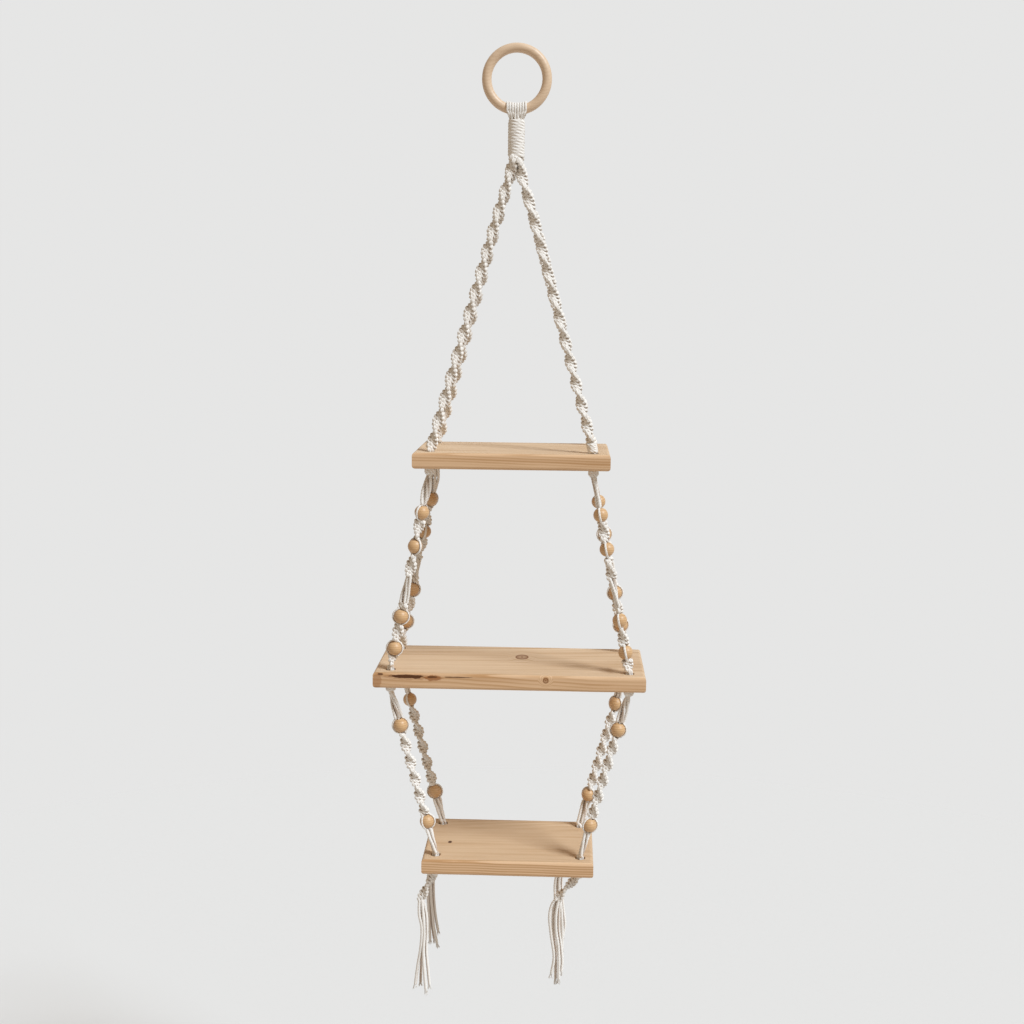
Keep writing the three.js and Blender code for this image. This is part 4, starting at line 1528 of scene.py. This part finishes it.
class OBJECT_OT_shelf_beads(bpy.types.Operator):
    """Makes the twenty-four wooden beads"""

    bl_idname = "object.shelf_beads"
    bl_label = "Beads"

    bead_count = 24
    # Half of the points that a bead's profile has from rim to rim, and the steps round it
    profile_half = 10
    steps_round = 36
    # The profile stops short of its hole by this angle, and the hole's mouth is eased to here
    rim_ease = 0.07
    mouth_points = ((0.12 * mm, 0.05 * mm), (0, 0.45 * mm))
    sharp_from = math.radians(50)
    grain_spacing = 2.6 * mm
    grain_contrast = 0.6

    def master_bead(self, wood):
        radius, bore = wood.bead_diameter / 2, wood.bead_bore / 2
        rim = math.acos(bore / radius)
        points = []
        for i in range(2 * self.profile_half + 1):
            angle = (rim - self.rim_ease) * (1 - i / self.profile_half)
            points.append((radius * math.cos(angle), 0, radius * math.sin(angle)))
        mouth = radius * math.sin(rim)
        low = [(bore + out, 0, -mouth + up) for out, up in self.mouth_points]
        inside = [(bore, 0, -mouth / 2), (bore, 0, mouth / 2)]
        high = [(x, y, -z) for x, y, z in reversed(low)]
        points += [*low, *inside, *high, points[0]]
        bead = start_profile("bead", points)
        spun(bead, (0, 0, 0), (0, 0, 1), self.steps_round)
        smoothed(bead, self.sharp_from)
        return bead

    def execute(self, context):
        wood = context.scene.shelf_wood
        colours = context.scene.shelf_finishes
        master = self.master_bead(wood)
        material = small_wood_material(
            "tan_bead_wood", (colours.bead, colours.bead_late), self.grain_spacing, bead_fibres,
            self.grain_contrast)
        turns = np.random.default_rng(77).uniform(0, full_turn, self.bead_count)
        made = 0
        for tier, corner_beads in bead_turns.items():
            for corner, (_, y_side) in corners.items():
                upper, lower = (Vector(end) for end in tier_ends(tier, corner))
                tilt = (upper - lower).to_track_quat("Z", "Y").to_matrix().to_4x4()
                for number in range(len(corner_beads[corner])):
                    node = f"{tier}_bead_{corner}_{number + 1}"
                    low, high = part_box(node)
                    place = Matrix.Translation((low + high) / 2) @ tilt
                    place = place @ Matrix.Rotation(turns[made], 4, "Z")
                    bead = copy_of(master, f"wooden_{node}", place)
                    bead.data.materials.append(material)
                    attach(bead, rope_body(tier, y_side))
                    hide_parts(node)
                    made += 1
        bpy.data.objects.remove(master)
        if made != self.bead_count:
            raise RuntimeError(f"{made} beads were made, and the shelf has {self.bead_count}")
        return {"FINISHED"}


# A board's edges: the steps of their rounding, and the cuts that let them wave
edge_steps = 5
cut_spacing = 12 * mm
# How far its faces stray: front and back within this band of its edges, and top and bottom
edge_band = 9 * mm
edge_stray = 0.9 * mm
face_stray = 0.25 * mm
# The waves along a board: how many there are, the slowest and the fastest in radians a metre, and
# about what they add up to
wave_count = 10
wave_rates = (18, 70)
wave_sum = 5
hole_sides = 48
hole_rim_steps = 2
hole_sharp_from = math.radians(35)


def round_edges(board, wanted, reach, steps):
    """In edit mode, bevels the edges whose two ends pass a test."""
    bpy.ops.mesh.select_all(action="DESELECT")
    mesh = bmesh.from_edit_mesh(board.data)
    for edge in mesh.edges:
        edge.select_set(wanted(edge.verts[0].co, edge.verts[1].co))
    bmesh.update_edit_mesh(board.data)
    bpy.ops.mesh.bevel(offset=reach, segments=steps, profile=0.5, affect="EDGES")


def waving(vertex, middle, size, waves):
    """Moves a point of a board inwards, as much as its uneven planing asks."""
    x, y, z = vertex.co - middle
    at_edge = max(0.0, (abs(y) - size.y / 2 + edge_band) / edge_band)
    back_shift = 2 if y > 0 else 0
    uneven = sum(w * math.sin(k * x + p + back_shift) for k, p, w in waves) / wave_sum
    vertex.co.y -= math.copysign(abs(uneven) * edge_stray * at_edge, y)
    if abs(z) > size.z / 2 - 1 * mm:
        slow = waves[:wave_count // 2]
        lift = sum(w * math.sin(k * x * 0.6 + p * 2 + 30 * y) for k, p, w in slow) / wave_sum
        vertex.co.z -= math.copysign(abs(lift) * face_stray, z)


def board_piece(name, node, wood, seed):
    """A board: a block with rounded corners and edges, and slightly uneven faces."""
    low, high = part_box(node)
    size = high - low
    middle = (low + high) / 2
    nothing_selected()
    bpy.ops.mesh.primitive_cube_add(size=1, location=middle)
    board = bpy.context.object
    board.name = name
    board.scale = size
    place_in_mesh(board)
    bpy.ops.object.mode_set(mode="EDIT")
    round_edges(board, lambda a, b: abs(a.z - b.z) > size.z / 2, wood.corner_radius, edge_steps)
    round_edges(board, lambda a, b: abs(a.z - b.z) < 0.01 * mm, wood.edge_radius, edge_steps)
    cuts = int(size.x / cut_spacing)
    for i in range(1, cuts):
        bpy.ops.mesh.select_all(action="SELECT")
        bpy.ops.mesh.bisect(plane_co=(low.x + size.x * i / cuts, 0, 0), plane_no=(1, 0, 0))
    bpy.ops.object.mode_set(mode="OBJECT")
    rng = np.random.default_rng(seed)
    waves = []
    for _ in range(wave_count):
        waves.append((rng.uniform(*wave_rates), rng.uniform(0, full_turn), rng.uniform(-1, 1)))
    for vertex in board.data.vertices:
        waving(vertex, middle, size, waves)
    return board


def drilled(board, node, wood):
    """Drills the four rope holes and eases their rims."""
    holes, top, bottom = hole_places(node)
    radius = wood.hole_diameter / 2
    nothing_selected()
    cutters = []
    for x, y in holes.values():
        bpy.ops.mesh.primitive_cylinder_add(
            vertices=hole_sides, radius=radius, depth=(top - bottom) * 2,
            location=(x, y, (top + bottom) / 2))
        cutters.append(bpy.context.object)
    nothing_selected()
    for cutter in cutters:
        cutter.select_set(True)
    bpy.context.view_layer.objects.active = cutters[0]
    bpy.ops.object.join()
    cutter = bpy.context.object
    only_selected(board)
    cut = board.modifiers.new("holes", "BOOLEAN")
    cut.operation = "DIFFERENCE"
    cut.solver = "EXACT"
    cut.object = cutter
    bpy.ops.object.modifier_apply(modifier=cut.name)
    bpy.data.objects.remove(cutter)

    def on_hole(point):
        return any(abs(math.hypot(point.x - x, point.y - y) - radius) < 0.02 * mm
                   for x, y in holes.values())

    def on_rim(a, b):
        return on_hole(a) and on_hole(b) and abs(a.z - b.z) < 0.5 * mm

    only_selected(board)
    bpy.ops.object.mode_set(mode="EDIT")
    round_edges(board, on_rim, wood.hole_rim, hole_rim_steps)
    bpy.ops.object.mode_set(mode="OBJECT")
    smoothed(board, hole_sharp_from)
    flatter = board.modifiers.new("flat_faces", "WEIGHTED_NORMAL")
    flatter.keep_sharp = True
    bpy.ops.object.modifier_apply(modifier=flatter.name)


class OBJECT_OT_shelf_boards(bpy.types.Operator):
    """Makes the three pine boards"""

    bl_idname = "object.shelf_boards"
    bl_label = "Boards"

    # For each board: its body, the middle of its growth rings (y, z) in metres, how wide the rings are
    # and how far they wander in mm, their least contrast, its knots (middle, reach), and its patches
    # (middle, reach, strength, whether they are dark bark)
    boards = {
        "top_shelf": ("top_tier", (0.12, -0.14), 1.8, 6, 0.15, (), ()),
        "middle_shelf": ("middle_tier", (0.10, -0.13), 2.8, 11, 0.3, (
            ((12.4, 17, 9), (7.2, 10.5, 40)),
            ((42.8, -70, 3.7), (3, 12, 3)),
        ), (
            ((-114, -70, 5), (30, 5, 3.4), 0.4, False),
            ((-118.7, -70, 5.6), (20, 5, 2.0), 1.0, True),
            ((-109, -70, 4.6), (7, 5, 1.6), 0.9, True),
            ((-88.4, -70, 4.3), (10, 5, 3.4), 0.8, False),
            ((-89.5, -70, 5.3), (5.5, 5, 1.3), 0.8, True),
            ((-59.7, -70, 5.6), (16, 5, 0.7), 0.85, True),
            ((-154, -68, -0.5), (5.5, 8, 9), 0.5, False),
            ((-150, -69, 7.5), (3.6, 5, 1.2), 0.85, True),
        )),
        "bottom_shelf": ("bottom_tier", (0.12, -0.16), 1.9, 2, 0.85, (), (
            ((-72.6, -12.3, 9.5), (2.2, 3.8, 3), 1.0, True),
        )),
    }

    def execute(self, context):
        wood = context.scene.shelf_wood
        for index, (node, look) in enumerate(self.boards.items()):
            body, pith, ring_width, waver, least, knots, patches = look
            name = node.replace("shelf", "board")
            board = board_piece(name, node, wood, 500 + index)
            drilled(board, node, wood)
            low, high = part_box(node)
            material = pine_material(f"pine_{name}", (low + high) / 2, pith, ring_width * mm,
                                     waver * mm, least, knots, patches)
            board.data.materials.clear()
            board.data.materials.append(material)
            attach(board, body)
            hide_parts(node)
        return {"FINISHED"}


# Registering, the panel, and making it all


makers = (
    OBJECT_OT_shelf_stage,
    OBJECT_OT_shelf_tails,
    OBJECT_OT_shelf_ring,
    OBJECT_OT_shelf_loops,
    OBJECT_OT_shelf_wrap,
    OBJECT_OT_shelf_upper_ropes,
    OBJECT_OT_shelf_middle_ropes,
    OBJECT_OT_shelf_middle_knots,
    OBJECT_OT_shelf_lower_ropes,
    OBJECT_OT_shelf_ends,
    OBJECT_OT_shelf_beads,
    OBJECT_OT_shelf_boards,
)


class VIEW3D_PT_rope_shelf(bpy.types.Panel):
    """Lists the shelf's pieces, sizes and finishes"""

    bl_label = "Hanging Rope Shelf"
    bl_idname = "VIEW3D_PT_rope_shelf"
    bl_space_type = "VIEW_3D"
    bl_region_type = "UI"
    bl_category = "Rope Shelf"

    def draw(self, context):
        for group in (context.scene.shelf_cord, context.scene.shelf_wood, context.scene.shelf_finishes):
            box = self.layout.box()
            for name in group.__annotations__:
                box.prop(group, name)
        for maker in makers:
            self.layout.operator(maker.bl_idname)


classes = (CordSizes, WoodSizes, Finishes, *makers, VIEW3D_PT_rope_shelf)


def register():
    for kind in classes:
        bpy.utils.register_class(kind)
    bpy.types.Scene.shelf_cord = bpy.props.PointerProperty(type=CordSizes)
    bpy.types.Scene.shelf_wood = bpy.props.PointerProperty(type=WoodSizes)
    bpy.types.Scene.shelf_finishes = bpy.props.PointerProperty(type=Finishes)


def unregister():
    del bpy.types.Scene.shelf_finishes
    del bpy.types.Scene.shelf_wood
    del bpy.types.Scene.shelf_cord
    for kind in reversed(classes):
        bpy.utils.unregister_class(kind)


def main():
    register()
    bpy.ops.object.shelf_stage()
    bpy.ops.object.shelf_tails()
    bpy.ops.object.shelf_ring()
    bpy.ops.object.shelf_loops()
    bpy.ops.object.shelf_wrap()
    bpy.ops.object.shelf_upper_ropes()
    bpy.ops.object.shelf_middle_ropes()
    bpy.ops.object.shelf_middle_knots()
    bpy.ops.object.shelf_lower_ropes()
    bpy.ops.object.shelf_ends()
    bpy.ops.object.shelf_beads()
    bpy.ops.object.shelf_boards()


if __name__ == "__main__":
    main()
